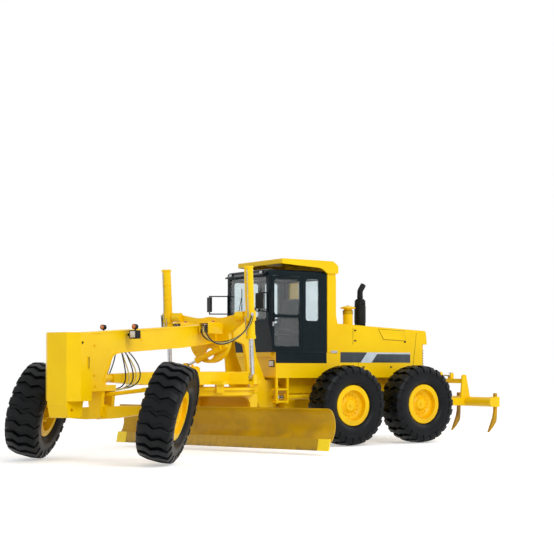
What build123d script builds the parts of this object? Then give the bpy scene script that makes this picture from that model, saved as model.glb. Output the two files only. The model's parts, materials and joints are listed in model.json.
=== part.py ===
"""Motor grader: articulated frame, leaning front wheels, circle-mounted moldboard and a rear ripper.

Units are millimetres. Two working frames share the articulation pin: "rear" runs along the cab and engine and
starts in the middle of the tandem, "front" runs along the gooseneck beam and starts at the articulation pin.
+X points forward, +Y to the operator's left, +Z up, and Z = 0 is the ground.
"""
from build123d import *
from math import asin, cos, degrees, pi, radians, sin, tan
import os

# ---- whole machine -----------------------------------------------------------------------------------------
WHEELBASE = 7435          # front axle to the middle of the tandem
PIN_TO_TANDEM = 1900      # articulation pin back to the middle of the tandem
PIN_TO_AXLE = WHEELBASE - PIN_TO_TANDEM
TANDEM_SPACING = 1840
TRACK = 2600
RUN = 6                   # side clearance between moving faces
PLAY = 0.05               # radial clearance of a pin in its bore
SEAM = 1                  # clearance between fixed pieces that sit in each other

# ---- parked pose -------------------------------------------------------------------------------------------
ARTICULATION = 26         # front frame swung to the left
LEAN = 15                 # tops of the front wheels to the left
STEER = 20                # front wheels turned to the left
BLADE_ANGLE = 5           # left end of the moldboard forward of square
BLADE_SHIFT = 200         # moldboard slid to the left on its rails

# ---- wheels ------------------------------------------------------------------------------------------------
TYRE_RADIUS = 800
TYRE_WIDTH = 590
SHOULDER_RADIUS = 70      # corner between tread and sidewall
SHOULDER_WIDTH = 560      # tread width over the shoulders
SIDE_WALL = 32
TREAD_WALL = 60
SEAT_RADIUS = 318         # where the tyre's bead seats on the rim
RIM_WIDTH = 418
RIM_WALL = 16
FLANGE_RADIUS = 402
FLANGE_WALL = 26
DISC_WALL = 24
DISH_STEP = 40            # how far the disc's middle stands in from its rim
HUB_RADIUS = 165
HUB_CAP = 60              # hub's domed end outside of the disc
HUB_END = 30              # wall of that end
SPINDLE_RADIUS = 70
SPINDLE_END = DISC_WALL + HUB_CAP - HUB_END - RUN      # out from the disc's inner face
WHEEL_SIDE = TRACK / 2
REAR_DISC = 40            # inner face of the disc, out from the wheel's middle
FRONT_DISC = 90
REAR_HUB_IN = -324        # inner end of the hub
FRONT_HUB_IN = 35

# ---- front axle: lean pin, kingpin and steering, measured in from the middle of the tyre ----------------------
KINGPIN_IN = 95
LEAN_PIN_IN = 185
LEAN_LIMIT = 20
STEER_LIMIT = 38
LEAN_PIN_SIDE = WHEEL_SIDE - LEAN_PIN_IN
KINGPIN_OUT = LEAN_PIN_IN - KINGPIN_IN      # kingpin outside of the lean pin
LEAN_PIN_RADIUS = 32
KINGPIN_RADIUS = 35
BRACKET_HALF = 54         # half thickness of the lean bracket
BRACKET_HEIGHT = 108      # half height of the kingpin boss
CHEEK_RADIUS = 62
CHEEK_GAP = BRACKET_HALF + RUN
CHEEK_WALL = 36
CHEEK_OUT = CHEEK_GAP + CHEEK_WALL
AXLE_BOSS_RADIUS = 120
AXLE_BOSS_HALF = CHEEK_OUT
AXLE_PIN_RADIUS = 35
HANGER_WALL = 80          # plates that hold the axle's swing pin
FORK_WALL = 40
FORK_RADIUS = BRACKET_HALF + 18
LEAN_ARM_IN = 200         # lean bar pin inside of the lean pin
LEAN_ARM_HALF = 22
LEAN_ARM_UP = 280
LEAN_EYE_RADIUS = 42
LEAN_BAR_RADIUS = 34
LEAN_BAR_FORK = 120       # length of the lean bar's forks
STEER_ARM = 150
TIE_ROD_RADIUS = 18
TIE_ROD_X = -120          # behind the middle of the axle
TIE_ROD_Z = -66
STEER_PULL = 140          # travel of the tie rod per radian of steering

# tyre's lowest point under its middle once it leans on its shoulder
HUB_HEIGHT = ((TYRE_RADIUS - SHOULDER_RADIUS) * cos(radians(LEAN))
              + (SHOULDER_WIDTH / 2 - SHOULDER_RADIUS) * sin(radians(LEAN)) + SHOULDER_RADIUS)
AXLE_TILT = degrees(asin(LEAN_PIN_IN * sin(radians(LEAN)) / LEAN_PIN_SIDE))
LEAN_ON_AXLE = LEAN + AXLE_TILT

# ---- articulation ----------------------------------------------------------------------------------------------
HITCH_LUG_RADIUS = 150
HITCH_PIN_RADIUS = 60
HITCH_LUG_WALL = 80
HITCH_FORK_WALL = 64
HITCH_HEIGHTS = (780, 1220)          # middle of the front frame's lugs

# ---- gooseneck, X ahead of the articulation pin ------------------------------------------------------------------
BEAM_HALF = 175
LIP_PROUD = 12            # flange plates' edges outside of the webs
LIP_WALL = 26
BEAM_TOP = ((1700, 2440), (2876, 2306))     # two bends of the beam's upper edge
BEAM_LOW = ((1750, 2060), (3378, 1897))     # and of its lower edge
FOOT_REAR = 5380
FOOT_LOW = 1165
FOOT_HIGH = 1262
STRUT_HALF = 250
STRUT_WALL = 50
BLOCK_HALF = 345          # counterweight on the nose
BLOCK_REAR = 6235
BLOCK_FRONT = 6665
BLOCK_CHAMFER = 155
BLOCK_TOP = 2090
BLOCK_BOTTOM = 1020
NECK_DEPTH = 40           # nose's seat in the counterweight
TOE_LOW = 760

# ---- tie-down holes ---------------------------------------------------------------------------------------------
TIE_HOLE = 30             # radius, for a shackle's pin
FRONT_TIE = (BLOCK_FRONT - 130, 880)        # across the toe of the counterweight, in the front frame
REAR_TIE = (-1850, 1120)                    # through an ear on each side of the rear bracket
TIE_EAR_RADIUS = 62
TIE_EAR_SIDE = 480
TIE_EAR_WALL = 30

# ---- lifter ring and lift cylinders ------------------------------------------------------------------------------
LIFT_X = 2230             # where the lifter ring stands on the beam
RING_RADIUS = 430
RING_WALL = 60
RING_RIM = 50             # rim behind the plate
RING_RIM_WALL = 34
RING_Z = 2060
RING_EYE = (1800, 105)    # height and radius of the sight hole under the beam
TRUNNION_RADIUS = 85
LIFT_SIDE = 900
LIFT_EYE = (2211, 1370)
LIFT_TRUNNION = (2288, 2490)
LIFT_BARREL_UP = 900      # barrel above its trunnion
LIFT_BARREL_DOWN = 420
LIFT_BARREL_RADIUS = 82
LIFT_ROD_RADIUS = 42
LIFT_ROD_LENGTH = 1320
LIFT_ROD_EYE = (62, 80, 28)          # outer radius, thickness, hole
LIFT_COLLAR = 26

# ---- drawbar ---------------------------------------------------------------------------------------------------
BALL = (5550, 1370)
BALL_RADIUS = 95
BALL_NECK_RADIUS = 62
SOCKET_RADIUS = 122
DRAWBAR_LOW = 1240
DRAWBAR_HIGH = 1470
DRAWBAR_SIDE = 520        # outer face of the side members
DRAWBAR_MEMBER = 110
DRAWBAR_REAR = 1430
DRAWBAR_SHOULDER = 2950   # where the members start to converge
DRAWBAR_TIP = 5300
LIFT_ARM_WALL = 24
SHOE_WALL = 34
DRIVE_RADIUS = 140        # housing of the circle's drive
DRIVE_HIGH = 1560

# ---- circle ----------------------------------------------------------------------------------------------------
CIRCLE_X = 2260
CIRCLE_RADIUS = 870       # over the flange
CIRCLE_BODY = CIRCLE_RADIUS - 50
CIRCLE_INNER = CIRCLE_RADIUS - 125
CIRCLE_FLANGE = 45
CIRCLE_HIGH = DRAWBAR_LOW - 60
CIRCLE_LOW = CIRCLE_HIGH - 140
TEETH = 72
TOOTH_DEPTH = 36
ARM_INNER = 600           # inner face of the circle's arms
ARM_WALL = 45

# ---- moldboard, in the circle's frame -------------------------------------------------------------------------------
BLADE_LENGTH = 4880
BLADE_HEIGHT = 740
BLADE_WALL = 25
BLADE_CLEAR = 90          # cutting edge above the ground
BLADE_BACK = -190         # front of the rails on the plate's back
BLADE_CORNER = 60
EDGE_WALL = 22
EDGE_HEIGHT = 205
END_BIT = 230             # length of the bits at both ends of the edge
RAIL_SIZE = 60
RAIL_HEIGHTS = (BLADE_CLEAR + 265, BLADE_CLEAR + 575)
RAIL_SHORT = 350          # rails end this far inside of the plate's ends
CHANNEL_WALL = 30
CHANNEL_LENGTH = 200
CARRIER_WALL = 40
TIP_X = -330              # blade tip pin
TIP_Z = RAIL_HEIGHTS[0] + 40
TIP_BOSS_RADIUS = 70
TIP_PIN_RADIUS = 38
TIP_LUG_WALL = 40

# ---- cylinders -------------------------------------------------------------------------------------------------
EYE_GAP = 6               # side gap between an eye and its lugs
GLAND = 60                # barrel's closed end and gland
GLAND_PROUD = 10
EYE_ROOT = 24             # from the eye's rim to the barrel's end
LUG_WALL = 22
SHIFT_HIGH = (2330, 380, 1940)       # drawbar's side shift: base on the ring, eye on the drawbar
SHIFT_LOW = (2330, -(DRAWBAR_SIDE - 75), DRAWBAR_HIGH + 115)
SHIFT_RADIUS, SHIFT_ROD_RADIUS, SHIFT_LENGTH = 52, 26, 600
SHIFT_ROD_START = 335
SHIFT_GAP = 16            # from the rod's eye to its lug, which swings past it as the drawbar rises
SHIFT_EYE = (46, 50, 25)
STEER_BASE = (-700, 505, 960)        # articulation cylinder: base on the rear frame, from the articulation pin
STEER_TIP = (300, 380, 960)          # its eye on the front frame
STEER_RADIUS, STEER_ROD_RADIUS, STEER_LENGTH = 50, 30, 620
STEER_ROD_LENGTH = 668
STEER_EYE = (46, 56, 25)

# ---- rear frame and tandem ---------------------------------------------------------------------------------------
RAIL_IN, RAIL_OUT = 300, 420
RAIL_LOW, RAIL_HIGH = 1030, 1330
REAR_END = -1720
CROSS_MEMBERS = ((-900, -800), (300, 400), (1000, 1100))
AXLE_TUBE_RADIUS = 190
AXLE_Z = 850
CASE_IN, CASE_OUT = 775, 970
CASE_LOW, CASE_HIGH = 590, 1010
CASE_END_RADIUS = 236
CASE_HUMP = ((340, CASE_HIGH), (250, 1100))

# ---- body and cab ----------------------------------------------------------------------------------------------
PANEL = 30
CAB_REAR, CAB_FRONT = 1000, 2420
CAB_HALF = 740
CAB_FLOOR, CAB_ROOF = 1850, 3480
CAB_WALL = 50
CAB_POST = 66
CAB_SILL = 2480           # lower edge of the windows
CAB_RAKE = 130            # how far the front's foot stands back
CAB_KNEE = 2420           # where the front starts to slope back
WINDOW_CORNER = 55
DOOR_REAR, DOOR_FRONT = 1600, 2345
DOOR_LOW, DOOR_HIGH = 1900, 3350
DOOR_MID = 2560           # height of the bar between the door's panes
DOOR_GAP = 6
GLASS_WALL = 8
HINGE_RADIUS = 10
HINGE_HEIGHTS = (2080, 3160)
SKIRT_LOW = 1340
SKIRT_FRONT = CAB_FRONT - 170
STEP_REAR, STEP_FRONT = SKIRT_FRONT - 320, SKIRT_FRONT - 20
STEP_HEIGHTS = (860, 1100)
BODY_HALF = 700
HOOD_FRONT = 690
HOOD_FRONT_TOP, HOOD_REAR_TOP = 2440, 2330
HOOD_CORNER = 130         # cut-back rear corners
GRILLE_HALF = 480
GRILLE_LOW, GRILLE_HIGH = 1450, 2020
SLATS = 12
CANOPY_REAR, CANOPY_FRONT = 740, 2130
CANOPY_HALF = 790
CANOPY_TOP = 3690
CANOPY_POST_SIDE = 750
CANOPY_POST_WALL = 200
STACK_X = -450
INTAKE_X = -120

# ---- ripper ------------------------------------------------------------------------------------------------------
RIPPER_PIN = (-1864, 800)
RIPPER_BEAM = (-3150, 800)
RIPPER_TOP = (-3060, 1390)
RIPPER_CYL = (-1830, 1390)
RIPPER_HALF = 1250
RIPPER_BEAM_RADIUS = 105
RIPPER_PIN_RADIUS = 35
RIPPER_ARM_HALF = 30
RIPPER_LUG = 430
RIPPER_CHEEK = 12         # thickness of the rear bracket's lugs
SHANKS = (-1150, 0, 1150)
SHANK_HALF = 30
RIPPER_RADIUS, RIPPER_ROD_RADIUS, RIPPER_LENGTH = 58, 32, 860
RIPPER_ROD_START = 400
RIPPER_EYE = (55, 60, 30)

# ---- placements --------------------------------------------------------------------------------------------------
REAR = Location()
FRONT = Pos(PIN_TO_TANDEM, 0, 0) * Rot(0, 0, ARTICULATION)
AXLE = FRONT * Pos(PIN_TO_AXLE, 0, HUB_HEIGHT) * Rot(AXLE_TILT, 0, 0)
CIRCLE = FRONT * Pos(CIRCLE_X, 0, 0) * Rot(0, 0, -BLADE_ANGLE)
BLADE = CIRCLE * Pos(0, BLADE_SHIFT, 0)
SIDES = (("left", 1), ("right", -1))


def lean_place(side):
    """Lean bracket's frame: origin on the lean pin, upright with the wheel."""
    return AXLE * Pos(0, side * LEAN_PIN_SIDE, 0) * Rot(-LEAN_ON_AXLE, 0, 0)


def steer_place(side):
    """Knuckle's frame: origin on the kingpin, turned with the wheel."""
    return lean_place(side) * Pos(0, side * KINGPIN_OUT, 0) * Rot(0, 0, STEER)


def front_wheel_place(side):
    """Front wheel's frame: origin in the middle of the tyre."""
    return steer_place(side) * Pos(0, side * KINGPIN_IN, 0)


def rear_wheel_place(end, side):
    """Rear wheel's frame; end is +1 for the leading wheel of the tandem."""
    return REAR * Pos(end * TANDEM_SPACING / 2, side * WHEEL_SIDE, TYRE_RADIUS)


# ---- small tools -------------------------------------------------------------------------------------------
def slab(x0, x1, y0, y1, z0, z1):
    """Box between two corners."""
    centre = ((x0 + x1) / 2, (y0 + y1) / 2, (z0 + z1) / 2)
    return Pos(*centre) * Box(abs(x1 - x0), abs(y1 - y0), abs(z1 - z0))


def bar(a, b, radius):
    """Round bar from point a to point b."""
    a, b = Vector(*a), Vector(*b)
    plane = Plane(origin=a, z_dir=b - a)
    return plane * Cylinder(radius, (b - a).length, align=(Align.CENTER, Align.CENTER, Align.MIN))


def pin_y(x, z, y0, y1, radius):
    """Round bar along Y."""
    return bar((x, y0, z), (x, y1, z), radius)


def outline(points):
    """Closed outline in a plane's own two axes; a point's third number rounds its corner."""
    edges, ends = [], []
    for n, point in enumerate(points):
        corner = Vector(*point[:2])
        start = finish = corner
        if len(point) > 2:
            back = (Vector(*points[n - 1][:2]) - corner).normalized()
            ahead = (Vector(*points[(n + 1) % len(points)][:2]) - corner).normalized()
            half = radians(back.get_angle(ahead)) / 2
            start = corner + back * (point[2] / tan(half))
            finish = corner + ahead * (point[2] / tan(half))
            middle = corner + (back + ahead).normalized() * (point[2] / sin(half) - point[2])
            edges.append(ThreePointArc(start, middle, finish))
        ends.append((start, finish))
    for n, (start, _) in enumerate(ends):
        if (start - ends[n - 1][1]).length > PLAY:
            edges.append(Line(ends[n - 1][1], start))
    return make_face(Curve() + edges)


def rounded(a0, a1, b0, b1, corner):
    """Corners of a rounded rectangle."""
    return [(a0, b0, corner), (a1, b0, corner), (a1, b1, corner), (a0, b1, corner)]


def side_plate(points, y0, y1):
    """Plate whose outline is drawn in X and Z, between two heights along Y."""
    low, high = sorted((y0, y1))
    return extrude(Plane.XZ * outline(points), low - high).moved(Pos(0, low, 0))


def plan_plate(points, z0, z1):
    """Plate whose outline is drawn in X and Y, from z0 to z1."""
    return extrude(Plane.XY * outline(points), z1 - z0).moved(Pos(0, 0, z0))


def cross_plate(points, x0, x1):
    """Plate whose outline is drawn in Y and Z, from x0 to x1."""
    return extrude(Plane.YZ * outline(points), x1 - x0).moved(Pos(x0, 0, 0))


def plan_ring(outer, inner, z0, z1):
    """Flat ring round the Z axis."""
    return bar((0, 0, z0), (0, 0, z1), outer) - bar((0, 0, z0 - 1), (0, 0, z1 + 1), inner)


def round_y(section):
    """Revolves a section drawn as (along the axle, radius) about the Y axis."""
    upright = Plane(origin=(0, 0, 0), x_dir=(0, 1, 0), z_dir=(1, 0, 0)) * section
    return revolve(upright, Axis.Y, 360)


# ---- hydraulic cylinders -----------------------------------------------------------------------------------
def ram_frame(a, b, pin):
    """Frame of a cylinder: origin on its base pin, Z along the rod, X along the pin."""
    a, b = Vector(*a), Vector(*b)
    return Plane(origin=a, x_dir=Vector(*pin), z_dir=b - a)


def ram_barrel(a, b, pin, radius, rod_radius, length, eye=None):
    """Barrel from its base pin, hollow for the rod; eye = (outer radius, thickness, pin radius)."""
    body = Pos(0, 0, length / 2) * Cylinder(radius, length)
    for z in (GLAND / 4, length - GLAND / 2):
        body += Pos(0, 0, z) * Cylinder(radius + GLAND_PROUD, 2 * min(z, length - z))
    body -= Pos(0, 0, GLAND + length / 2) * Cylinder(rod_radius + SEAM, length)
    if eye:
        outer, wall, pin_radius = eye
        root = outer + EYE_ROOT
        body = Pos(0, 0, root) * body + Rot(0, 90, 0) * Cylinder(outer, wall)
        body += Pos(0, 0, root / 2) * Box(wall, outer * 1.5, root + 2)
        body -= Rot(0, 90, 0) * Cylinder(pin_radius + PLAY, wall + 2)
    return ram_frame(a, b, pin) * body


def ram_rod(a, b, pin, radius, start, eye):
    """Rod that starts inside the barrel and ends in an eye with a plain hole."""
    outer, wall, pin_radius = eye
    whole = (Vector(*b) - Vector(*a)).length
    body = Pos(0, 0, (start + whole) / 2) * Cylinder(radius, whole - start)
    body += Pos(0, 0, whole) * Rot(0, 90, 0) * Cylinder(outer, wall)
    body -= Pos(0, 0, whole) * Rot(0, 90, 0) * Cylinder(pin_radius, wall + 2)
    return ram_frame(a, b, pin) * body


def eye_lugs(point, root, eye, pinned):
    """Two level lugs over and under an eye with an upright pin, out from a wall at y = root."""
    outer, eye_wall, pin_radius = eye
    x, y, z = point
    near = eye_wall / 2 + EYE_GAP
    far = near + LUG_WALL
    body = None
    for way in (1, -1):
        lug = slab(x - outer, x + outer, root, y, z + way * near, z + way * far)
        lug += bar((x, y, z + way * near), (x, y, z + way * far), outer)
        body = lug if body is None else body + lug
    if pinned:
        body += bar((x, y, z - far - RUN), (x, y, z + far + RUN), pin_radius)
    return body


# ---- wheels ------------------------------------------------------------------------------------------------
def tyre():
    """Tyre round the Y axis: beads on the rim's seat, bulged sidewalls and a square tread round the air space."""
    shoulder = SHOULDER_WIDTH / 2
    flat = shoulder - SHOULDER_RADIUS
    crown, corner = TYRE_RADIUS, TYRE_RADIUS - SHOULDER_RADIUS
    bead = RIM_WIDTH / 2 - FLANGE_WALL - SEAM
    foot = FLANGE_RADIUS + 8
    bulge = TYRE_WIDTH / 2
    middle = (foot + corner) / 2
    seat = SEAT_RADIUS + SEAM / 2
    arc_mid = SHOULDER_RADIUS * sin(pi / 4)
    heel = bead - SIDE_WALL * 1.6
    right = [
        Line((bead, seat), (bead, foot)),
        ThreePointArc((bead, foot), (bulge, middle), (shoulder, corner)),
        ThreePointArc((shoulder, corner), (flat + arc_mid, corner + arc_mid), (flat, crown)),
        Line((bead, seat), (heel, seat)),
        Line((heel, seat), (bead - SIDE_WALL, foot)),
        ThreePointArc((bead - SIDE_WALL, foot), (bulge - SIDE_WALL, middle), (flat, crown - TREAD_WALL)),
    ]
    left = [edge.mirror(Plane.YZ) for edge in right]
    treads = [Line((-flat, crown - wall), (flat, crown - wall)) for wall in (0, TREAD_WALL)]
    return round_y(make_face(Curve() + right + left + treads))


def rim(disc_at, hub_in):
    """Rim round the Y axis, outer side at +Y: barrel, two flanges, a stepped dish and a bored, domed hub."""
    half = RIM_WIDTH / 2
    inner = SEAT_RADIUS - RIM_WALL
    hub_out = disc_at + DISC_WALL + HUB_CAP
    barrel = outline([
        (-half, inner), (half, inner), (half, FLANGE_RADIUS, 8), (half - FLANGE_WALL, FLANGE_RADIUS, 8),
        (half - FLANGE_WALL, SEAT_RADIUS), (-half + FLANGE_WALL, SEAT_RADIUS),
        (-half + FLANGE_WALL, FLANGE_RADIUS, 8), (-half, FLANGE_RADIUS, 8),
    ])
    step = (HUB_RADIUS + inner) / 2
    disc = outline([
        (disc_at, HUB_RADIUS - 5), (disc_at + DISC_WALL, HUB_RADIUS - 5), (disc_at + DISC_WALL, step - 25, 20),
        (disc_at + DISC_WALL + DISH_STEP, step + 25, 20), (disc_at + DISC_WALL + DISH_STEP, inner + SEAM),
        (disc_at + DISH_STEP, inner + SEAM), (disc_at + DISH_STEP, step + 25, 12), (disc_at, step - 25, 12),
    ])
    bore = SPINDLE_RADIUS + SEAM
    hub = outline([
        (hub_in, bore), (hub_in, HUB_RADIUS - 25), (hub_in + 25, HUB_RADIUS), (hub_out - 60, HUB_RADIUS),
        (hub_out - 30, HUB_RADIUS - 40), (hub_out, HUB_RADIUS - 60, 15), (hub_out, 0), (hub_out - HUB_END, 0),
        (hub_out - HUB_END, bore),
    ])
    return round_y(barrel) + round_y(disc) + round_y(hub)


def on_side(shape, side):
    """Turns a wheel piece so that its outer face looks to the given side."""
    return shape if side > 0 else Rot(0, 0, 180) * shape


# ---- front axle ----------------------------------------------------------------------------------------------
def front_axle():
    """Arched beam with a fork and a pin at each end, and its swing boss with the swing pin in the middle."""
    root = LEAN_PIN_SIDE - 190
    beam = cross_plate([(-root, -CHEEK_RADIUS), (-280, -AXLE_BOSS_RADIUS, 200), (280, -AXLE_BOSS_RADIUS, 200),
                        (root, -CHEEK_RADIUS), (root, CHEEK_RADIUS), (280, 80, 200), (-280, 80, 200),
                        (-root, CHEEK_RADIUS)], -CHEEK_OUT, CHEEK_OUT)
    beam += bar((-AXLE_BOSS_HALF, 0, 0), (AXLE_BOSS_HALF, 0, 0), AXLE_BOSS_RADIUS + 8)
    reach = AXLE_BOSS_HALF + RUN + HANGER_WALL + RUN
    beam += bar((-reach, 0, 0), (reach, 0, 0), AXLE_PIN_RADIUS)
    for side in (1, -1):
        y = side * LEAN_PIN_SIDE
        for face in (1, -1):
            x0, x1 = face * CHEEK_GAP, face * CHEEK_OUT
            beam += slab(x0, x1, side * (root - 10), y, -CHEEK_RADIUS, CHEEK_RADIUS)
            beam += bar((x0, y, 0), (x1, y, 0), CHEEK_RADIUS)
        beam += bar((-CHEEK_OUT - 4, y, 0), (CHEEK_OUT + 4, y, 0), LEAN_PIN_RADIUS)
    return beam


def lean_bracket(side):
    """Bracket on the lean pin (X axis) with the kingpin's boss outside and an arm up to the lean bar."""
    y = KINGPIN_OUT
    block = [(-58, -50, 20), (30, -BRACKET_HEIGHT), (y, -BRACKET_HEIGHT), (y, BRACKET_HEIGHT),
             (-20, BRACKET_HEIGHT), (-70, 60)]
    arm = [(y - 85, BRACKET_HEIGHT), (-LEAN_ARM_IN + 30, LEAN_ARM_UP + 25),
           (-LEAN_ARM_IN - 25, LEAN_ARM_UP - 30), (-60, 40), (20, 40)]
    body = cross_plate([(side * a, b, *r) for a, b, *r in block], -BRACKET_HALF, BRACKET_HALF)
    body += cross_plate([(side * a, b) for a, b in arm], -LEAN_ARM_HALF, LEAN_ARM_HALF)
    body += bar((0, side * y, -BRACKET_HEIGHT), (0, side * y, BRACKET_HEIGHT), BRACKET_HALF)
    eye_y = -side * LEAN_ARM_IN
    body += bar((-LEAN_ARM_HALF, eye_y, LEAN_ARM_UP), (LEAN_ARM_HALF, eye_y, LEAN_ARM_UP), LEAN_EYE_RADIUS)
    body -= bar((-BRACKET_HEIGHT, 0, 0), (BRACKET_HEIGHT, 0, 0), LEAN_PIN_RADIUS + PLAY)
    body -= bar((0, side * y, -2 * BRACKET_HEIGHT), (0, side * y, 2 * BRACKET_HEIGHT), KINGPIN_RADIUS + PLAY)
    return body


def lean_bar():
    """Bar between the two lean arms, a fork at each end, in the axle's frame."""
    ends = []
    for side in (1, -1):
        eye = lean_place(side) * Pos(0, -side * LEAN_ARM_IN, LEAN_ARM_UP)
        ends.append(Vector(*(AXLE.inverse() * eye).position))
    left, right = ends
    along = (left - right).normalized()
    body = bar(left - along * LEAN_BAR_FORK, right + along * LEAN_BAR_FORK, LEAN_BAR_RADIUS)
    x0, x1 = LEAN_ARM_HALF + RUN, LEAN_ARM_HALF + RUN + 18
    for end, way in ((left, -along), (right, along)):
        root = end + way * (LEAN_BAR_FORK - 20)
        for face in (1, -1):
            body += bar((face * x0, end.Y, end.Z), (face * x1, end.Y, end.Z), LEAN_EYE_RADIUS)
            low, high = sorted((end.Y, root.Y))
            middle = (end.Z + root.Z) / 2
            body += slab(face * x0, face * x1, low, high, middle - LEAN_BAR_RADIUS, middle + LEAN_BAR_RADIUS)
        low, high = sorted((root.Y, root.Y + way.Y * 60))
        body += slab(-x1, x1, low, high, root.Z - LEAN_BAR_RADIUS - 2, root.Z + LEAN_BAR_RADIUS + 2)
    return body


def knuckle(side):
    """Knuckle on its kingpin (Z axis): fork over and under the bracket, spindle out to the hub, steering arm."""
    z0, z1 = BRACKET_HEIGHT + RUN, BRACKET_HEIGHT + RUN + FORK_WALL
    web_in, web_out = BRACKET_HALF + 8, BRACKET_HALF + 58
    body = slab(-80, 80, side * web_in, side * web_out, -z1, z1)
    for way in (1, -1):
        a, b = sorted((way * z0, way * z1))
        body += bar((0, 0, a), (0, 0, b), FORK_RADIUS) + slab(-FORK_RADIUS, FORK_RADIUS, 0, side * web_in, a, b)
    body += bar((0, 0, -z1 - 8), (0, 0, z1 + 8), KINGPIN_RADIUS)
    spindle_end = KINGPIN_IN + FRONT_DISC + SPINDLE_END
    body += bar((0, side * web_out, 0), (0, side * spindle_end, 0), SPINDLE_RADIUS)
    body += bar((0, side * web_out, 0), (0, side * (web_out + 12), 0), 110)
    body += slab(-STEER_ARM, -78, side * 40, side * (web_in + 20), TIE_ROD_Z - 24, TIE_ROD_Z + 24)
    return body


def tie_rod():
    """Rod that ties both knuckles, in the axle's frame, behind the beam."""
    offset = -STEER_PULL * radians(STEER)
    half = WHEEL_SIDE - KINGPIN_IN
    return pin_y(TIE_ROD_X, TIE_ROD_Z, offset - half, offset + half, TIE_ROD_RADIUS)


# ---- front frame ---------------------------------------------------------------------------------------------
def beam_line(bends, x):
    """Height of the beam's upper or lower edge between its two bends."""
    (x0, z0), (x1, z1) = bends
    return z0 + (x - x0) * (z1 - z0) / (x1 - x0)


def gooseneck():
    """Box beam from the struts to the nose, its flange plates standing proud of the webs."""
    back = BLOCK_REAR + NECK_DEPTH
    edge = [
        (FOOT_REAR, FOOT_LOW), (back, FOOT_LOW), (back, BLOCK_TOP), (5202, 2160, 300), (*BEAM_TOP[1], 600),
        (*BEAM_TOP[0], 300), (1350, 2440, 60), (1350, 2180, 60), (*BEAM_LOW[0], 300), (*BEAM_LOW[1], 600),
        (5202, 1790, 300), (5434, 1751, 160), (5640, 1420, 90), (5700, FOOT_HIGH), (FOOT_REAR, FOOT_HIGH),
    ]
    body = side_plate(edge, -BEAM_HALF, BEAM_HALF)
    web = Plane.XZ * offset(outline(edge), -LIP_WALL)
    between = slab(LIFT_X + 120, BLOCK_REAR - 90, -BEAM_HALF - 1, BEAM_HALF + 1, FOOT_HIGH + LIP_WALL, BLOCK_TOP + 400)
    for side in (1, -1):
        pocket = extrude(web, -side * (LIP_PROUD + 1)).moved(Pos(0, side * (BEAM_HALF - LIP_PROUD), 0))
        body -= pocket & between
    return body


def front_frame():
    """Gooseneck, axle hangers, ball socket, and two strut plates down to the articulation lugs."""
    body = gooseneck()
    hanger = [(-150, FOOT_LOW + 5), (-100, HUB_HEIGHT - 110, 60), (100, HUB_HEIGHT - 110, 60), (150, FOOT_LOW + 5)]
    strut = [
        (1180, 2480, 40), (1480, 2500, 80), (1800, 2300, 60), (1760, 2060, 60), (1400, 1990, 90), (1310, 1700, 200),
        (1260, 1330, 200), (700, 650), (260, 650), (260, 1300), (600, 1300, 60), (960, 1800, 200), (1010, 2050, 200),
    ]
    for side in (1, -1):
        body += side_plate(strut, side * STRUT_HALF, side * (STRUT_HALF - STRUT_WALL))
        x0, x1 = sorted(PIN_TO_AXLE + side * (AXLE_BOSS_HALF + RUN + wall) for wall in (0, HANGER_WALL))
        body += cross_plate(hanger, x0, x1)
        x, y, z = STEER_TIP
        body += eye_lugs((x, side * y, z), side * (STRUT_HALF - 10), STEER_EYE, False)
    body += slab(1200, 1800, -STRUT_HALF, STRUT_HALF, BEAM_LOW[0][1], BEAM_TOP[1][1] - 6)
    body -= bar((PIN_TO_AXLE - 300, 0, HUB_HEIGHT), (PIN_TO_AXLE + 300, 0, HUB_HEIGHT), AXLE_PIN_RADIUS + PLAY)
    body -= Pos(PIN_TO_AXLE, 0, HUB_HEIGHT) * pin_y(TIE_ROD_X, TIE_ROD_Z, -300, 300, TIE_ROD_RADIUS + 8)
    body += slab(260, 330, -STRUT_HALF, STRUT_HALF, 650, 1300)
    body += slab(420, 500, -STRUT_HALF, STRUT_HALF, 700, 1300)
    for z in HITCH_HEIGHTS:
        half = HITCH_LUG_WALL / 2
        body += bar((0, 0, z - half), (0, 0, z + half), HITCH_LUG_RADIUS)
        body += slab(0, 300, -HITCH_LUG_RADIUS, HITCH_LUG_RADIUS, z - half, z + half)
        body -= bar((0, 0, z - half - 5), (0, 0, z + half + 5), HITCH_PIN_RADIUS + PLAY)
    x, z = BALL
    body += bar((x - 20, 0, z), (x + 160, 0, z), SOCKET_RADIUS)
    body += slab(x, x + 200, -SOCKET_RADIUS + 20, SOCKET_RADIUS - 20, FOOT_HIGH - 10, z + 60)
    return body - Pos(x, 0, z) * Sphere(BALL_RADIUS + SEAM)


def push_block():
    """Counterweight on the nose: chamfered block over a narrower toe, with tie-down and lifting holes."""
    half, cut = BLOCK_HALF, BLOCK_CHAMFER
    body = plan_plate([(BLOCK_REAR, -half), (BLOCK_FRONT - cut, -half), (BLOCK_FRONT, -half + cut),
                       (BLOCK_FRONT, half - cut), (BLOCK_FRONT - cut, half), (BLOCK_REAR, half)],
                      BLOCK_BOTTOM, BLOCK_TOP)
    toe = side_plate([(BLOCK_REAR + 10, BLOCK_BOTTOM), (BLOCK_FRONT, BLOCK_BOTTOM), (BLOCK_FRONT, BLOCK_BOTTOM - 60, 30),
                      (BLOCK_FRONT - 55, TOE_LOW, 40), (BLOCK_REAR + 75, TOE_LOW, 40)], -half + cut, half - cut)
    body += toe
    body -= slab(BLOCK_REAR - 1, BLOCK_REAR + NECK_DEPTH, -BEAM_HALF - SEAM, BEAM_HALF + SEAM, FOOT_LOW - SEAM,
                 BLOCK_TOP + 1)
    return body - pin_y(*FRONT_TIE, -half, half, TIE_HOLE)


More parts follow.
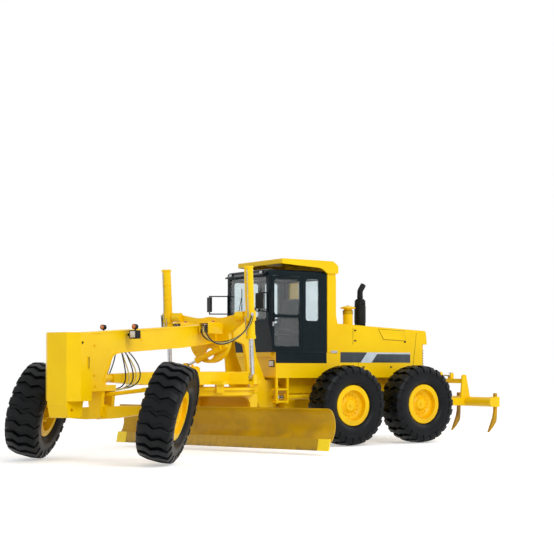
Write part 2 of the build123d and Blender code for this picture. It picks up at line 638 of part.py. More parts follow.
def lifter_ring():
    """Round plate across the beam, rimmed behind, with two tapered arms out to the lift cylinders' trunnions."""
    x0, x1 = LIFT_X - RING_WALL / 2, LIFT_X + RING_WALL / 2
    back = x0 - RING_RIM
    body = bar((x0, 0, RING_Z), (x1, 0, RING_Z), RING_RADIUS)
    body += bar((back, 0, RING_Z), (x0 + 1, 0, RING_Z), RING_RADIUS) - bar(
        (back - 1, 0, RING_Z), (x0, 0, RING_Z), RING_RADIUS - RING_RIM_WALL)
    trunnion_x, trunnion_z = LIFT_TRUNNION
    inner = LIFT_SIDE - LIFT_BARREL_RADIUS - 40
    body += cross_plate([
        (-inner + 30, trunnion_z - 70, 20), (-inner + 30, trunnion_z + 70, 50), (-300, 2470, 300), (300, 2470, 300),
        (inner - 30, trunnion_z + 70, 50), (inner - 30, trunnion_z - 70, 20), (330, 2110, 200), (-330, 2110, 200),
    ], back, x1)
    body -= slab(back - 1, x1 + 1, -BEAM_HALF - SEAM / 2, BEAM_HALF + SEAM / 2, beam_line(BEAM_LOW, x1) - SEAM,
                 beam_line(BEAM_TOP, back) + SEAM)
    body -= bar((back - 1, 0, RING_EYE[0]), (x1 + 1, 0, RING_EYE[0]), RING_EYE[1])
    body += bar((x1 - 1, *SHIFT_HIGH[1:]), (SHIFT_HIGH[0] + 34, *SHIFT_HIGH[1:]), SHIFT_EYE[2])
    for side in (1, -1):
        body += pin_y(trunnion_x, trunnion_z, side * (inner - 170), side * inner, TRUNNION_RADIUS)
    return body


# ---- lift cylinders ------------------------------------------------------------------------------------------
def lift_line(side):
    """Top of the barrel, trunnion and rod eye of one lift cylinder."""
    trunnion = Vector(LIFT_TRUNNION[0], side * LIFT_SIDE, LIFT_TRUNNION[1])
    eye = Vector(LIFT_EYE[0], side * LIFT_SIDE, LIFT_EYE[1])
    down = (eye - trunnion).normalized()
    return trunnion - down * LIFT_BARREL_UP, trunnion, eye


def lift_barrel(side):
    """Barrel held at its middle by a trunnion collar."""
    top, trunnion, eye = lift_line(side)
    body = ram_barrel(top, eye, (0, 1, 0), LIFT_BARREL_RADIUS, LIFT_ROD_RADIUS, LIFT_BARREL_UP + LIFT_BARREL_DOWN)
    down = (eye - top).normalized()
    collar = bar(trunnion - down * 90, trunnion + down * 90, LIFT_BARREL_RADIUS + LIFT_COLLAR)
    inner = trunnion.Y - side * (LIFT_BARREL_RADIUS + 40)
    collar += pin_y(trunnion.X, trunnion.Z, *sorted((inner, trunnion.Y)), 55)
    return body + (collar - bar(trunnion - down * 91, trunnion + down * 91, LIFT_BARREL_RADIUS - 5))


def lift_rod(side):
    """Chromed rod with a flat-sided ball eye."""
    top, trunnion, eye = lift_line(side)
    whole = (eye - top).length
    return ram_rod(top, eye, (0, 1, 0), LIFT_ROD_RADIUS, whole - LIFT_ROD_LENGTH, LIFT_ROD_EYE)


# ---- drawbar, circle and blade mounting ------------------------------------------------------------------------
def drawbar():
    """A-frame: ball in front, two members round open windows, the circle's drive, and arms out to the lift rods."""
    inner = DRAWBAR_SIDE - DRAWBAR_MEMBER
    body = plan_plate([
        (DRAWBAR_TIP, -80), (DRAWBAR_SHOULDER, -DRAWBAR_SIDE, 400), (DRAWBAR_REAR, -DRAWBAR_SIDE, 60),
        (DRAWBAR_REAR, DRAWBAR_SIDE, 60), (DRAWBAR_SHOULDER, DRAWBAR_SIDE, 400), (DRAWBAR_TIP, 80),
    ], DRAWBAR_LOW, DRAWBAR_HIGH)
    body &= side_plate([
        (DRAWBAR_REAR, DRAWBAR_LOW), (4200, DRAWBAR_LOW, 400), (DRAWBAR_TIP, BALL[1] - 70),
        (DRAWBAR_TIP, BALL[1] + 70), (4200, DRAWBAR_HIGH, 400), (DRAWBAR_REAR, DRAWBAR_HIGH),
    ], -DRAWBAR_SIDE, DRAWBAR_SIDE)
    ahead = DRAWBAR_SHOULDER + 190
    body -= plan_plate([(4450, -50, 20), (ahead, -inner + 30, 60), (ahead, inner - 30, 60), (4450, 50, 20)],
                       DRAWBAR_LOW - 1, DRAWBAR_HIGH + 1)
    body -= plan_plate(rounded(DRAWBAR_REAR + 160, DRAWBAR_SHOULDER - 250, -inner, inner, 60),
                       DRAWBAR_LOW - 1, DRAWBAR_HIGH + 1)
    body += Pos(BALL[0], 0, BALL[1]) * Sphere(BALL_RADIUS)
    body += bar((DRAWBAR_TIP - 60, 0, BALL[1]), (BALL[0], 0, BALL[1]), BALL_NECK_RADIUS)
    drive_x = CIRCLE_X + CIRCLE_INNER - TOOTH_DEPTH - DRIVE_RADIUS
    body += bar((drive_x, 0, DRAWBAR_HIGH - 5), (drive_x, 0, DRIVE_HIGH - 30), DRIVE_RADIUS)
    body += Pos(drive_x, 0, DRIVE_HIGH - 30) * Cone(DRIVE_RADIUS, DRIVE_RADIUS - 30, 30,
                                                    align=(Align.CENTER, Align.CENTER, Align.MIN))
    for side in (1, -1):
        body += lift_arm(side)
    for turn in (45, 135, 225, 315):
        body += circle_shoe(turn)
    x, y, z = SHIFT_LOW
    x0 = x + SHIFT_EYE[1] / 2 + SHIFT_GAP
    x1 = x0 + 2 * LUG_WALL
    body += slab(x0, x1, y - SHIFT_EYE[0], y + SHIFT_EYE[0], DRAWBAR_HIGH - 10, z)
    return body + bar((x0, y, z), (x1, y, z), SHIFT_EYE[0])


def lift_arm(side):
    """Tapered arm from the drawbar's side out to two lugs round a lift rod's eye."""
    x, z = LIFT_EYE
    eye_radius, eye_wall, hole = LIFT_ROD_EYE
    near = eye_wall / 2 + RUN
    inside = LIFT_SIDE - near
    body = plan_plate([(x - 200, side * (DRAWBAR_SIDE - 20)), (x - eye_radius, side * inside),
                       (x + eye_radius, side * inside), (x + 200, side * (DRAWBAR_SIDE - 20))],
                      DRAWBAR_LOW, DRAWBAR_HIGH - 20)
    body -= slab(x - 2 * eye_radius, x + 2 * eye_radius, side * (inside - LIFT_ARM_WALL), side * (inside + 1),
                 z + eye_radius, DRAWBAR_HIGH)
    for face in (1, -1):
        y0, y1 = sorted(side * LIFT_SIDE + face * (near + wall) for wall in (0, LIFT_ARM_WALL))
        body += slab(x - eye_radius, x + eye_radius, y0, y1, DRAWBAR_LOW, z) + pin_y(x, z, y0, y1, eye_radius)
    outside = LIFT_SIDE + near + LIFT_ARM_WALL
    return body + slab(x - eye_radius, x + eye_radius, side * (inside - 1), side * outside, DRAWBAR_LOW,
                       z - eye_radius - 2 * RUN)


def circle_shoe(turn):
    """Guide shoe that holds the circle's flange from above and below, with its bracket to the drawbar."""
    lip_top = CIRCLE_HIGH - CIRCLE_FLANGE - RUN
    reach = CIRCLE_RADIUS + RUN
    shoe = slab(reach, reach + 50, -70, 70, lip_top - SHOE_WALL, DRAWBAR_LOW + 1)
    shoe += slab(CIRCLE_BODY + RUN, reach + 50, -70, 70, lip_top - SHOE_WALL, lip_top)
    shoe += slab(CIRCLE_INNER + 20, reach + 50, -70, 70, CIRCLE_HIGH + RUN, DRAWBAR_LOW + 1)
    shoe = Pos(CIRCLE_X, 0, 0) * Rot(0, 0, turn) * shoe
    x = CIRCLE_X + reach * cos(radians(turn))
    side = 1 if turn < 180 else -1
    out = reach * sin(pi / 4) + 120
    return shoe + plan_plate([(x - 140, side * (DRAWBAR_SIDE - 60)), (x + 140, side * (DRAWBAR_SIDE - 60)),
                              (x + 80, side * out, 30), (x - 80, side * out, 30)], DRAWBAR_LOW, DRAWBAR_LOW + 60)


def circle():
    """Toothed ring with a guide flange, and two arms down behind it that carry the blade."""
    ring = plan_ring(CIRCLE_BODY, CIRCLE_INNER, CIRCLE_LOW, CIRCLE_HIGH)
    ring += plan_ring(CIRCLE_RADIUS, CIRCLE_BODY - 5, CIRCLE_HIGH - CIRCLE_FLANGE, CIRCLE_HIGH)
    pitch = 2 * pi * CIRCLE_INNER / TEETH
    tooth = plan_plate([(CIRCLE_INNER + 8, -pitch * 0.3), (CIRCLE_INNER - TOOTH_DEPTH, -pitch * 0.16),
                        (CIRCLE_INNER - TOOTH_DEPTH, pitch * 0.16), (CIRCLE_INNER + 8, pitch * 0.3)],
                       CIRCLE_LOW + 15, CIRCLE_LOW + 85)
    ring = ring + [Rot(0, 0, 360 / TEETH * n) * tooth for n in range(TEETH)]
    arm = [
        (-640, CIRCLE_LOW + 10), (-655, 930, 120), (-590, 600, 200), (-440, TIP_Z - 68, 40), (TIP_X, TIP_Z - 68),
        (TIP_X + 50, TIP_Z + 45), (-350, 640, 150), (-430, 860, 120), (-340, 975, 80), (-180, CIRCLE_LOW + 10),
    ]
    for side in (1, -1):
        inside = side * ARM_INNER
        outside = side * (ARM_INNER + ARM_WALL)
        ring += side_plate(arm, inside, outside)
        ring += pin_y(TIP_X, TIP_Z, inside, outside, TIP_BOSS_RADIUS)
        ring += pin_y(TIP_X, TIP_Z, inside, side * (ARM_INNER - RUN - TIP_LUG_WALL), TIP_PIN_RADIUS)
    half = ARM_INNER + 5
    ring += side_plate([(-620, 640, 30), (-560, 640, 30), (-560, CIRCLE_LOW - 50), (-380, CIRCLE_LOW - 50),
                        (-380, CIRCLE_LOW + 5), (-620, CIRCLE_LOW + 5)], -half, half)
    return ring


def blade_line():
    """Face line of the rolled plate: bottom point, deepest point and top point, as (x, z)."""
    bottom = (-20.0, BLADE_CLEAR + EDGE_HEIGHT - 60)
    top = (10.0, BLADE_CLEAR + BLADE_HEIGHT)
    deepest = (-165.0, BLADE_CLEAR + BLADE_HEIGHT * 0.55)
    return bottom, deepest, top


def moldboard():
    """Rolled plate with rounded upper corners, a top stiffener, and two rails with end ribs on its back."""
    bottom, deepest, top = blade_line()
    behind = [(x - BLADE_WALL, z) for x, z in (bottom, deepest, top)]
    section = make_face(Curve() + [ThreePointArc(bottom, deepest, top), ThreePointArc(*behind),
                                   Line(bottom, behind[0]), Line(top, behind[2])])
    half = BLADE_LENGTH / 2
    plate = extrude(Plane.XZ * section, BLADE_LENGTH).moved(Pos(0, half, 0))
    plate &= cross_plate([(-half, bottom[1]), (half, bottom[1]), (half, top[1], BLADE_CORNER),
                          (-half, top[1], BLADE_CORNER)], deepest[0] - 2 * BLADE_WALL, top[0] + 1)
    back = BLADE_BACK - RAIL_SIZE
    for z in RAIL_HEIGHTS:
        plate += slab(back, BLADE_BACK + 40, -half + RAIL_SHORT, half - RAIL_SHORT, z - RAIL_SIZE / 2,
                      z + RAIL_SIZE / 2)
    for side in (1, -1):
        y = side * (half - RAIL_SHORT)
        plate += side_plate([(back, RAIL_HEIGHTS[0] - 30, 20), (BLADE_BACK + 40, RAIL_HEIGHTS[0] - 30),
                             (BLADE_BACK + 5, deepest[1]), (BLADE_BACK + 40, RAIL_HEIGHTS[1] + 30),
                             (back, RAIL_HEIGHTS[1] + 30, 20)], y, y + side * BLADE_WALL)
    return plate + slab(top[0] - 60, top[0] - 5, -half + BLADE_CORNER, half - BLADE_CORNER, top[1] - 24, top[1] - 2)


def cutting_edge():
    """Edge strips along the bottom, with a heavier bit at each end."""
    x, z = blade_line()[0]
    half = BLADE_LENGTH / 2
    foot = BLADE_CLEAR
    strip = [(x, z + 60), (x + EDGE_WALL, z + 60), (x + EDGE_WALL + 52, foot), (x + 42, foot)]
    bit = [(x, z + 60), (x + EDGE_WALL + 8, z + 60), (x + EDGE_WALL + 60, foot), (x + 42, foot)]
    parts = []
    for side in (1, -1):
        parts.append(side_plate(strip, side * SEAM, side * (half - END_BIT - SEAM)))
        parts.append(side_plate(bit, side * (half - END_BIT), side * half))
    return Compound(parts)


def tip_frame():
    """Carrier between the arms: lugs on the tip pins and four channels that hold the rails."""
    back = BLADE_BACK - RAIL_SIZE
    wide = ARM_INNER - RUN
    lug_in = wide - TIP_LUG_WALL
    low, high = RAIL_HEIGHTS[0] - 70, RAIL_HEIGHTS[1] + 80
    body = cross_plate([(-wide, low, 60), (wide, low, 60), (wide, high, 60), (-wide, high, 60)],
                       back - RUN - CARRIER_WALL, back - RUN)
    body -= cross_plate(rounded(-lug_in + 240, lug_in - 240, RAIL_HEIGHTS[0] + 90, RAIL_HEIGHTS[1] - 80, 40),
                        back - 2 * CARRIER_WALL, back)
    for z in RAIL_HEIGHTS:
        for side in (1, -1):
            for way in (1, -1):
                z0, z1 = sorted(z + way * (RAIL_SIZE / 2 + 5 + wall) for wall in (0, CHANNEL_WALL))
                body += slab(back - 10, back + 40, side * (wide - CHANNEL_LENGTH), side * wide, z0, z1)
    for side in (1, -1):
        y0, y1 = side * lug_in, side * wide
        body += slab(TIP_X - 60, back - RUN, y0, y1, TIP_Z - 60, TIP_Z + 60)
        body += pin_y(TIP_X, TIP_Z, y0, y1, TIP_BOSS_RADIUS)
        body -= pin_y(TIP_X, TIP_Z, y0 - side, y1 + side, TIP_PIN_RADIUS + PLAY)
    return body


# ---- smaller cylinders -----------------------------------------------------------------------------------------
def shift_barrel():
    """Drawbar side shift cylinder's barrel on the lifter ring."""
    return ram_barrel(SHIFT_HIGH, SHIFT_LOW, (1, 0, 0), SHIFT_RADIUS, SHIFT_ROD_RADIUS, SHIFT_LENGTH, SHIFT_EYE)


def shift_rod():
    """Its rod to the drawbar."""
    return ram_rod(SHIFT_HIGH, SHIFT_LOW, (1, 0, 0), SHIFT_ROD_RADIUS, SHIFT_ROD_START, SHIFT_EYE)


def articulation_line(side):
    """Base and eye of one articulation cylinder, in the rear frame."""
    base = Vector(PIN_TO_TANDEM + STEER_BASE[0], side * STEER_BASE[1], STEER_BASE[2])
    eye = (FRONT * Pos(STEER_TIP[0], side * STEER_TIP[1], STEER_TIP[2])).position
    return base, eye


def articulation_barrel(side):
    """Articulation barrel beside the rear frame's rail."""
    base, eye = articulation_line(side)
    return ram_barrel(base, eye, (0, 0, 1), STEER_RADIUS, STEER_ROD_RADIUS, STEER_LENGTH, STEER_EYE)


def articulation_rod(side):
    """Articulation rod to the front frame."""
    base, eye = articulation_line(side)
    start = (eye - base).length - STEER_ROD_LENGTH
    return ram_rod(base, eye, (0, 0, 1), STEER_ROD_RADIUS, start, STEER_EYE)


# ---- rear frame ------------------------------------------------------------------------------------------------
def rear_frame():
    """Rails from the hitch forks to the rear plate, with cross members and the axle saddle."""
    nose = PIN_TO_TANDEM - HITCH_LUG_RADIUS - 30
    body = slab(REAR_END, REAR_END + 60, -RAIL_OUT, RAIL_OUT, RAIL_LOW, RAIL_HIGH)
    for side in (1, -1):
        body += slab(REAR_END, nose, side * RAIL_IN, side * RAIL_OUT, RAIL_LOW, RAIL_HIGH)
        body += side_plate([(-260, AXLE_Z + 60, 40), (260, AXLE_Z + 60, 40), (330, RAIL_LOW + 10),
                            (-330, RAIL_LOW + 10)], side * RAIL_IN, side * RAIL_OUT)
        x, y, z = PIN_TO_TANDEM + STEER_BASE[0], side * STEER_BASE[1], STEER_BASE[2]
        body += eye_lugs((x, y, z), side * (RAIL_OUT - 60), STEER_EYE, True)
        body += slab(x - 60, x + 60, side * (RAIL_OUT - 100), side * (RAIL_OUT - 40), z - 60, RAIL_LOW + 5)
    for x0, x1 in CROSS_MEMBERS:
        body += slab(x0, x1, -RAIL_OUT, RAIL_OUT, RAIL_LOW, RAIL_HIGH)
    body += side_plate([(1450, RAIL_LOW), (1520, 660, 60), (nose, 660), (nose, RAIL_HIGH + 20),
                        (1450, RAIL_HIGH + 20)], -RAIL_IN, RAIL_IN)
    fork = HITCH_LUG_RADIUS - 10
    for z in HITCH_HEIGHTS:
        inner = HITCH_LUG_WALL / 2 + RUN
        for way in (1, -1):
            z0, z1 = sorted((z + way * inner, z + way * (inner + HITCH_FORK_WALL)))
            body += bar((PIN_TO_TANDEM, 0, z0), (PIN_TO_TANDEM, 0, z1), fork)
            body += slab(nose - 10, PIN_TO_TANDEM, -fork, fork, z0, z1)
        reach = inner + HITCH_FORK_WALL + 10
        body += bar((PIN_TO_TANDEM, 0, z - reach), (PIN_TO_TANDEM, 0, z + reach), HITCH_PIN_RADIUS)
    return body - pin_y(0, AXLE_Z, -RAIL_OUT - 1, RAIL_OUT + 1, AXLE_TUBE_RADIUS + 0.2)


def tandem_axle():
    """Axle tube with a chain case and two wheel spindles on each side."""
    body = pin_y(0, AXLE_Z, -CASE_IN - 10, CASE_IN + 10, AXLE_TUBE_RADIUS)
    half = TANDEM_SPACING / 2
    hump = [*CASE_HUMP, *[(-x, z) for x, z in reversed(CASE_HUMP)]]
    for side in (1, -1):
        y0, y1 = side * CASE_IN, side * CASE_OUT
        case = side_plate([(-half, CASE_LOW), (half, CASE_LOW), (half, CASE_HIGH), *hump, (-half, CASE_HIGH)],
                          y0, y1)
        for end in (1, -1):
            case += pin_y(end * half, TYRE_RADIUS, y0, y1, CASE_END_RADIUS)
            case += pin_y(end * half, TYRE_RADIUS, y1, side * (WHEEL_SIDE + REAR_DISC + SPINDLE_END), SPINDLE_RADIUS)
        body += case
        body += pin_y(0, AXLE_Z, side * (CASE_IN - 90), side * CASE_IN, AXLE_TUBE_RADIUS + 70)
    return body


# ---- body and cab ----------------------------------------------------------------------------------------------
def platform():
    """Base under the cab: deck, side skirts, and a ladder on both sides."""
    inside = CAB_HALF - PANEL
    deck = side_plate([(HOOD_FRONT + 2, SKIRT_LOW), (SKIRT_FRONT, SKIRT_LOW, 40), (SKIRT_FRONT, CAB_FLOOR),
                       (HOOD_FRONT + 2, CAB_FLOOR)], -CAB_HALF, CAB_HALF)
    deck -= slab(HOOD_FRONT - 50, SKIRT_FRONT - 40, -inside, inside, SKIRT_LOW - 1, CAB_FLOOR - 60)
    deck += slab(SKIRT_FRONT - 1, CAB_FRONT - CAB_RAKE, -CAB_HALF + 120, CAB_HALF - 120, CAB_FLOOR - 90, CAB_FLOOR)
    for side in (1, -1):
        out = side * (CAB_HALF - 10)
        for x0 in (STEP_REAR, STEP_FRONT - 40):
            deck += side_plate([(x0, STEP_HEIGHTS[0] - 20, 15), (x0 + 40, STEP_HEIGHTS[0] - 20, 15),
                                (x0 + 40, SKIRT_LOW + 40), (x0, SKIRT_LOW + 40)], out, side * (CAB_HALF - 60))
        for z0 in STEP_HEIGHTS:
            deck += slab(STEP_REAR + 1, STEP_FRONT - 1, side * (CAB_HALF - 150), side * (CAB_HALF - 5), z0, z0 + 35)
    return deck


def hood_side(inset):
    """Solid of the hood's outside, or of its inside where inset is the panel's thickness."""
    front = HOOD_FRONT - (PANEL + 20 if inset else 0)
    low = SKIRT_LOW - (5 if inset else 0)
    return side_plate([
        (front, low), (front, HOOD_FRONT_TOP - inset), (REAR_END + 30 + inset, HOOD_REAR_TOP - inset, 60),
        (REAR_END + inset, 2060), (REAR_END + inset, low),
    ], -BODY_HALF + inset, BODY_HALF - inset)


def hood():
    """Engine cover: an open-bottomed shell with a sloped top and cut-back rear corners."""
    body = hood_side(0) - hood_side(PANEL)
    for side in (1, -1):
        outer = side * BODY_HALF
        body -= plan_plate([(REAR_END - 5, side * (BODY_HALF - HOOD_CORNER)), (REAR_END - 5, outer + side * 5),
                            (REAR_END + HOOD_CORNER + 5, outer + side * 5)], SKIRT_LOW - 10, 2040)
        body += plan_plate([(REAR_END, side * (BODY_HALF - HOOD_CORNER - 5)), (REAR_END + HOOD_CORNER, outer),
                            (REAR_END + HOOD_CORNER, outer - side * PANEL),
                            (REAR_END + PANEL, side * (BODY_HALF - HOOD_CORNER - 10))], SKIRT_LOW, 2060)
    return body - slab(REAR_END - 5, REAR_END + PANEL + 5, -GRILLE_HALF, GRILLE_HALF, GRILLE_LOW, GRILLE_HIGH)


def radiator_grille():
    """Rear grille: a frame with level slats."""
    x0, x1 = REAR_END + 2, REAR_END + 28
    half, low, high = GRILLE_HALF - SEAM, GRILLE_LOW + SEAM, GRILLE_HIGH - SEAM
    body = slab(x0, x1, -half, half, low, high) - slab(x0 - 1, x1 + 1, -half + 40, half - 40, low + 40, high - 40)
    pitch = (high - low - 80) / SLATS
    for n in range(SLATS):
        z = low + 40 + pitch * (n + 0.5)
        body += slab(x0, x1, -half + 30, half - 30, z - 9, z + 9)
    return body


def engine():
    """Engine, transmission and cooler as one plain block between the rails."""
    body = slab(-1300, 620, -RAIL_IN + 2, RAIL_IN - 2, 1100, 2150)
    for x0, x1 in CROSS_MEMBERS[:2]:
        body -= slab(x0 - 5, x1 + 5, -RAIL_IN, RAIL_IN, 1000, RAIL_HIGH + SEAM)
    return body


def side_window(shrink):
    """Outline of the rear side windows; shrink leaves the glass its seam."""
    return rounded(CAB_REAR + 190 + shrink, DOOR_REAR - 80 - shrink, CAB_SILL + shrink, DOOR_HIGH - 40 - shrink,
                   WINDOW_CORNER)


def front_window(shrink):
    """Outline of the windscreen in Y and Z."""
    half = CAB_HALF - 80 - shrink
    return rounded(-half, half, CAB_SILL + 20 + shrink, DOOR_HIGH - 20 - shrink, WINDOW_CORNER)


def rear_window(shrink):
    """Outline of the rear window in Y and Z."""
    half = CAB_HALF - 120 - shrink
    return rounded(-half, half, CAB_SILL + shrink, DOOR_HIGH - 40 - shrink, WINDOW_CORNER)


def cab_side(inset):
    """Side outline of the cab, set in by a wall: the front rises from its foot to the knee, then upright."""
    rear, front = CAB_REAR + inset, CAB_FRONT - inset
    low, high = CAB_FLOOR + inset, CAB_ROOF - (110 if inset else 0)
    return [(rear, low), (front - CAB_RAKE, low), (front, CAB_KNEE), (front, high, 60), (rear, high, 60)]


def cab_frame():
    """Dark cab: floor, posts, rails, roof and visor as one hollow shell with its door and window openings."""
    inner = CAB_HALF - CAB_WALL
    body = side_plate(cab_side(0), -CAB_HALF, CAB_HALF) & cross_plate(
        [(-CAB_HALF, CAB_FLOOR), (CAB_HALF, CAB_FLOOR), (CAB_HALF, CAB_ROOF, 60), (-CAB_HALF, CAB_ROOF, 60)],
        CAB_REAR, CAB_FRONT)
    body -= side_plate(cab_side(CAB_WALL), -inner, inner)
    door = rounded(DOOR_REAR - DOOR_GAP, DOOR_FRONT + DOOR_GAP, DOOR_LOW - DOOR_GAP, DOOR_HIGH + DOOR_GAP,
                   WINDOW_CORNER + DOOR_GAP)
    for side in (1, -1):
        for cut in (door, side_window(0)):
            body -= side_plate(cut, side * (inner - 1), side * (CAB_HALF + 1))
    body -= cross_plate(front_window(0), CAB_FRONT - CAB_WALL - 1, CAB_FRONT + 1)
    body -= cross_plate(rear_window(0), CAB_REAR - 1, CAB_REAR + CAB_WALL + 1)
    return body + side_plate([(CAB_FRONT - 5, DOOR_HIGH + 20), (CAB_FRONT + 95, DOOR_HIGH - 5, 8),
                              (CAB_FRONT + 100, DOOR_HIGH + 20, 8), (CAB_FRONT - 5, DOOR_HIGH + 80)],
                             -CAB_HALF + 60, CAB_HALF - 60)


def cab_glass():
    """Fixed panes: windscreen, two rear side windows and the rear window."""
    inset = (CAB_WALL + GLASS_WALL) / 2
    panes = [
        cross_plate(front_window(SEAM), CAB_FRONT - inset, CAB_FRONT - inset + GLASS_WALL),
        cross_plate(rear_window(SEAM), CAB_REAR + inset - GLASS_WALL, CAB_REAR + inset),
    ]
    for side in (1, -1):
        y = side * (CAB_HALF - inset)
        panes.append(side_plate(side_window(SEAM), y, y + side * GLASS_WALL))
    return Compound(panes)


def door_panes(shrink):
    """Outlines of the door's lower and upper panes."""
    rear, front = DOOR_REAR + CAB_POST + shrink, DOOR_FRONT - CAB_POST - shrink
    return [rounded(rear, front, low + shrink, high - shrink, WINDOW_CORNER)
            for low, high in ((DOOR_LOW + CAB_POST, DOOR_MID - 30), (DOOR_MID + 30, DOOR_HIGH - CAB_POST))]


def cab_door(side):
    """Door frame with an upper and a lower opening, a pull handle and its hinge knuckles."""
    y0, y1 = side * (CAB_HALF - CAB_WALL), side * CAB_HALF
    body = side_plate(rounded(DOOR_REAR, DOOR_FRONT, DOOR_LOW, DOOR_HIGH, WINDOW_CORNER), y0, y1)
    for pane in door_panes(0):
        body -= side_plate(pane, y0 - side, y1 + side)
    body += side_plate(rounded(DOOR_FRONT - 48, DOOR_FRONT - 20, DOOR_MID - 120, DOOR_MID + 60, 10), y1 - side,
                       y1 + side * 40)
    body -= slab(DOOR_FRONT - 50, DOOR_FRONT - 18, y1, y1 + side * 22, DOOR_MID - 90, DOOR_MID + 30)
    x, y = DOOR_REAR + 2, y1 + side * HINGE_RADIUS
    for z in HINGE_HEIGHTS:
        body += bar((x, y, z - 35), (x, y, z + 35), HINGE_RADIUS)
        body += slab(x, x + 50, y1 - side, y, z - 35, z + 35)
    return body


def door_glass(side):
    """The door's two panes."""
    y = side * (CAB_HALF - CAB_WALL / 2 - GLASS_WALL / 2)
    return Compound([side_plate(pane, y, y + side * GLASS_WALL) for pane in door_panes(SEAM)])


def canopy():
    """Roll-over structure: a portal behind the cab, and the roof tray that it carries over it."""
    foot = CAB_REAR - 10
    post = [(CANOPY_REAR - 20, CAB_FLOOR), (foot, CAB_FLOOR), (foot, CANOPY_TOP - 60), (CANOPY_REAR + 60, CANOPY_TOP - 60),
            (CANOPY_REAR + 30, 3300, 200), (CANOPY_REAR + 30, 2600, 200), (CANOPY_REAR - 20, 2400, 200)]
    body = side_plate([
        (CANOPY_REAR, CANOPY_TOP - 250, 30), (CANOPY_REAR, CANOPY_TOP - 90, 60), (CANOPY_REAR + 130, CANOPY_TOP, 60),
        (CANOPY_FRONT, CANOPY_TOP, 15), (CANOPY_FRONT, CANOPY_TOP - 100, 15), (CAB_REAR + 150, CANOPY_TOP - 150, 300),
        (CAB_REAR + 20, CANOPY_TOP - 250, 60),
    ], -CANOPY_HALF, CANOPY_HALF)
    inside = CANOPY_HALF - PANEL
    body -= slab(CAB_REAR - 5, CANOPY_FRONT - PANEL, -inside, inside, CANOPY_TOP - 300, CANOPY_TOP - PANEL)
    for side in (1, -1):
        body += side_plate(post, side * CANOPY_POST_SIDE, side * (CANOPY_POST_SIDE - CANOPY_POST_WALL))
    return body


def seat():
    """Operator's seat on its pedestal."""
    body = slab(1480, 1760, -150, 150, CAB_FLOOR + CAB_WALL, 2230)
    body += side_plate([(1380, 2200, 20), (1860, 2220, 40), (1880, 2330, 40), (1430, 2320)], -260, 260)
    return body + side_plate([(1380, 2230), (1290, 2950, 30), (1370, 2960, 30), (1480, 2300)], -250, 250)


def steering_console():
    """Sloping column with its wheel."""
    foot = CAB_FLOOR + CAB_WALL
    body = side_plate([(2080, foot), (2220, foot), (2080, 2620, 20), (2000, 2600, 20)], -110, 110)
    top = Pos(2020, 0, 2680) * Rot(0, -20, 0)
    body += top * (Cylinder(205, 30) - Cylinder(175, 32)) + top * Box(380, 50, 20)
    return body + top * Pos(0, 0, -60) * Cylinder(35, 130)


def exhaust_stack():
    """Muffler barrel with an outlet pipe bent back at the top."""
    body = bar((STACK_X, 0, HOOD_REAR_TOP), (STACK_X, 0, 2980), 115)
    body += bar((STACK_X, 0, 2975), (STACK_X, 0, 3005), 90)
    route = FilletPolyline((STACK_X, 0, 3000), (STACK_X, 0, 3180), (STACK_X - 90, 0, 3310), radius=110)
    body += sweep((Plane.XY * Pos(STACK_X, 0, 3000)) * Circle(60), path=route)
    return body - hood_side(0)


def air_precleaner():
    """Intake drum with a cap wider than its neck."""
    body = revolve(Plane.XZ * Pos(0, HOOD_REAR_TOP) * outline([
        (0, 0), (105, 0), (105, 400, 20), (88, 440), (88, 455), (160, 460, 10), (160, 490, 15), (60, 522, 30),
        (0, 522),
    ]), Axis.Z, 360)
    return body.moved(Pos(INTAKE_X, 0, 0)) - hood_side(0)


def mirrors():
    """Mirror heads on bent arms at both front posts."""
    parts = []
    for side in (1, -1):
        root = (CAB_FRONT + 12, side * (CAB_HALF - 30))
        tip = (CAB_FRONT + 330, side * (CAB_HALF + 170))
        body = bar((*tip, 2628), (*tip, 3012), 12) + bar((*root, 2628), (*root, 3012), 12)
        for z in (2640, 3000):
            body += bar((*root, z), (*tip, z), 12)
        parts.append(body + Pos(*tip, 2830) * Rot(0, 0, side * 10) * Box(40, 180, 300))
    return Compound(parts)


def head_lamps():
    """Lamp pods with a turn lamp over each, on brackets at both sides of the beam's front end."""
    parts = []
    for side in (1, -1):
        y = side * (BEAM_HALF + 150)
        pod = cross_plate(rounded(y - 70, y + 70, 2020, 2160, 18), 5000, 5120)
        pod += bar((5040, side * BEAM_HALF, 2090), (5040, y, 2090), 22)
        pod += bar((5050, y, 2155), (5050, y, 2195), 14) + bar((5020, y, 2220), (5085, y, 2220), 42)
        parts.append(pod)
    return Compound(parts)


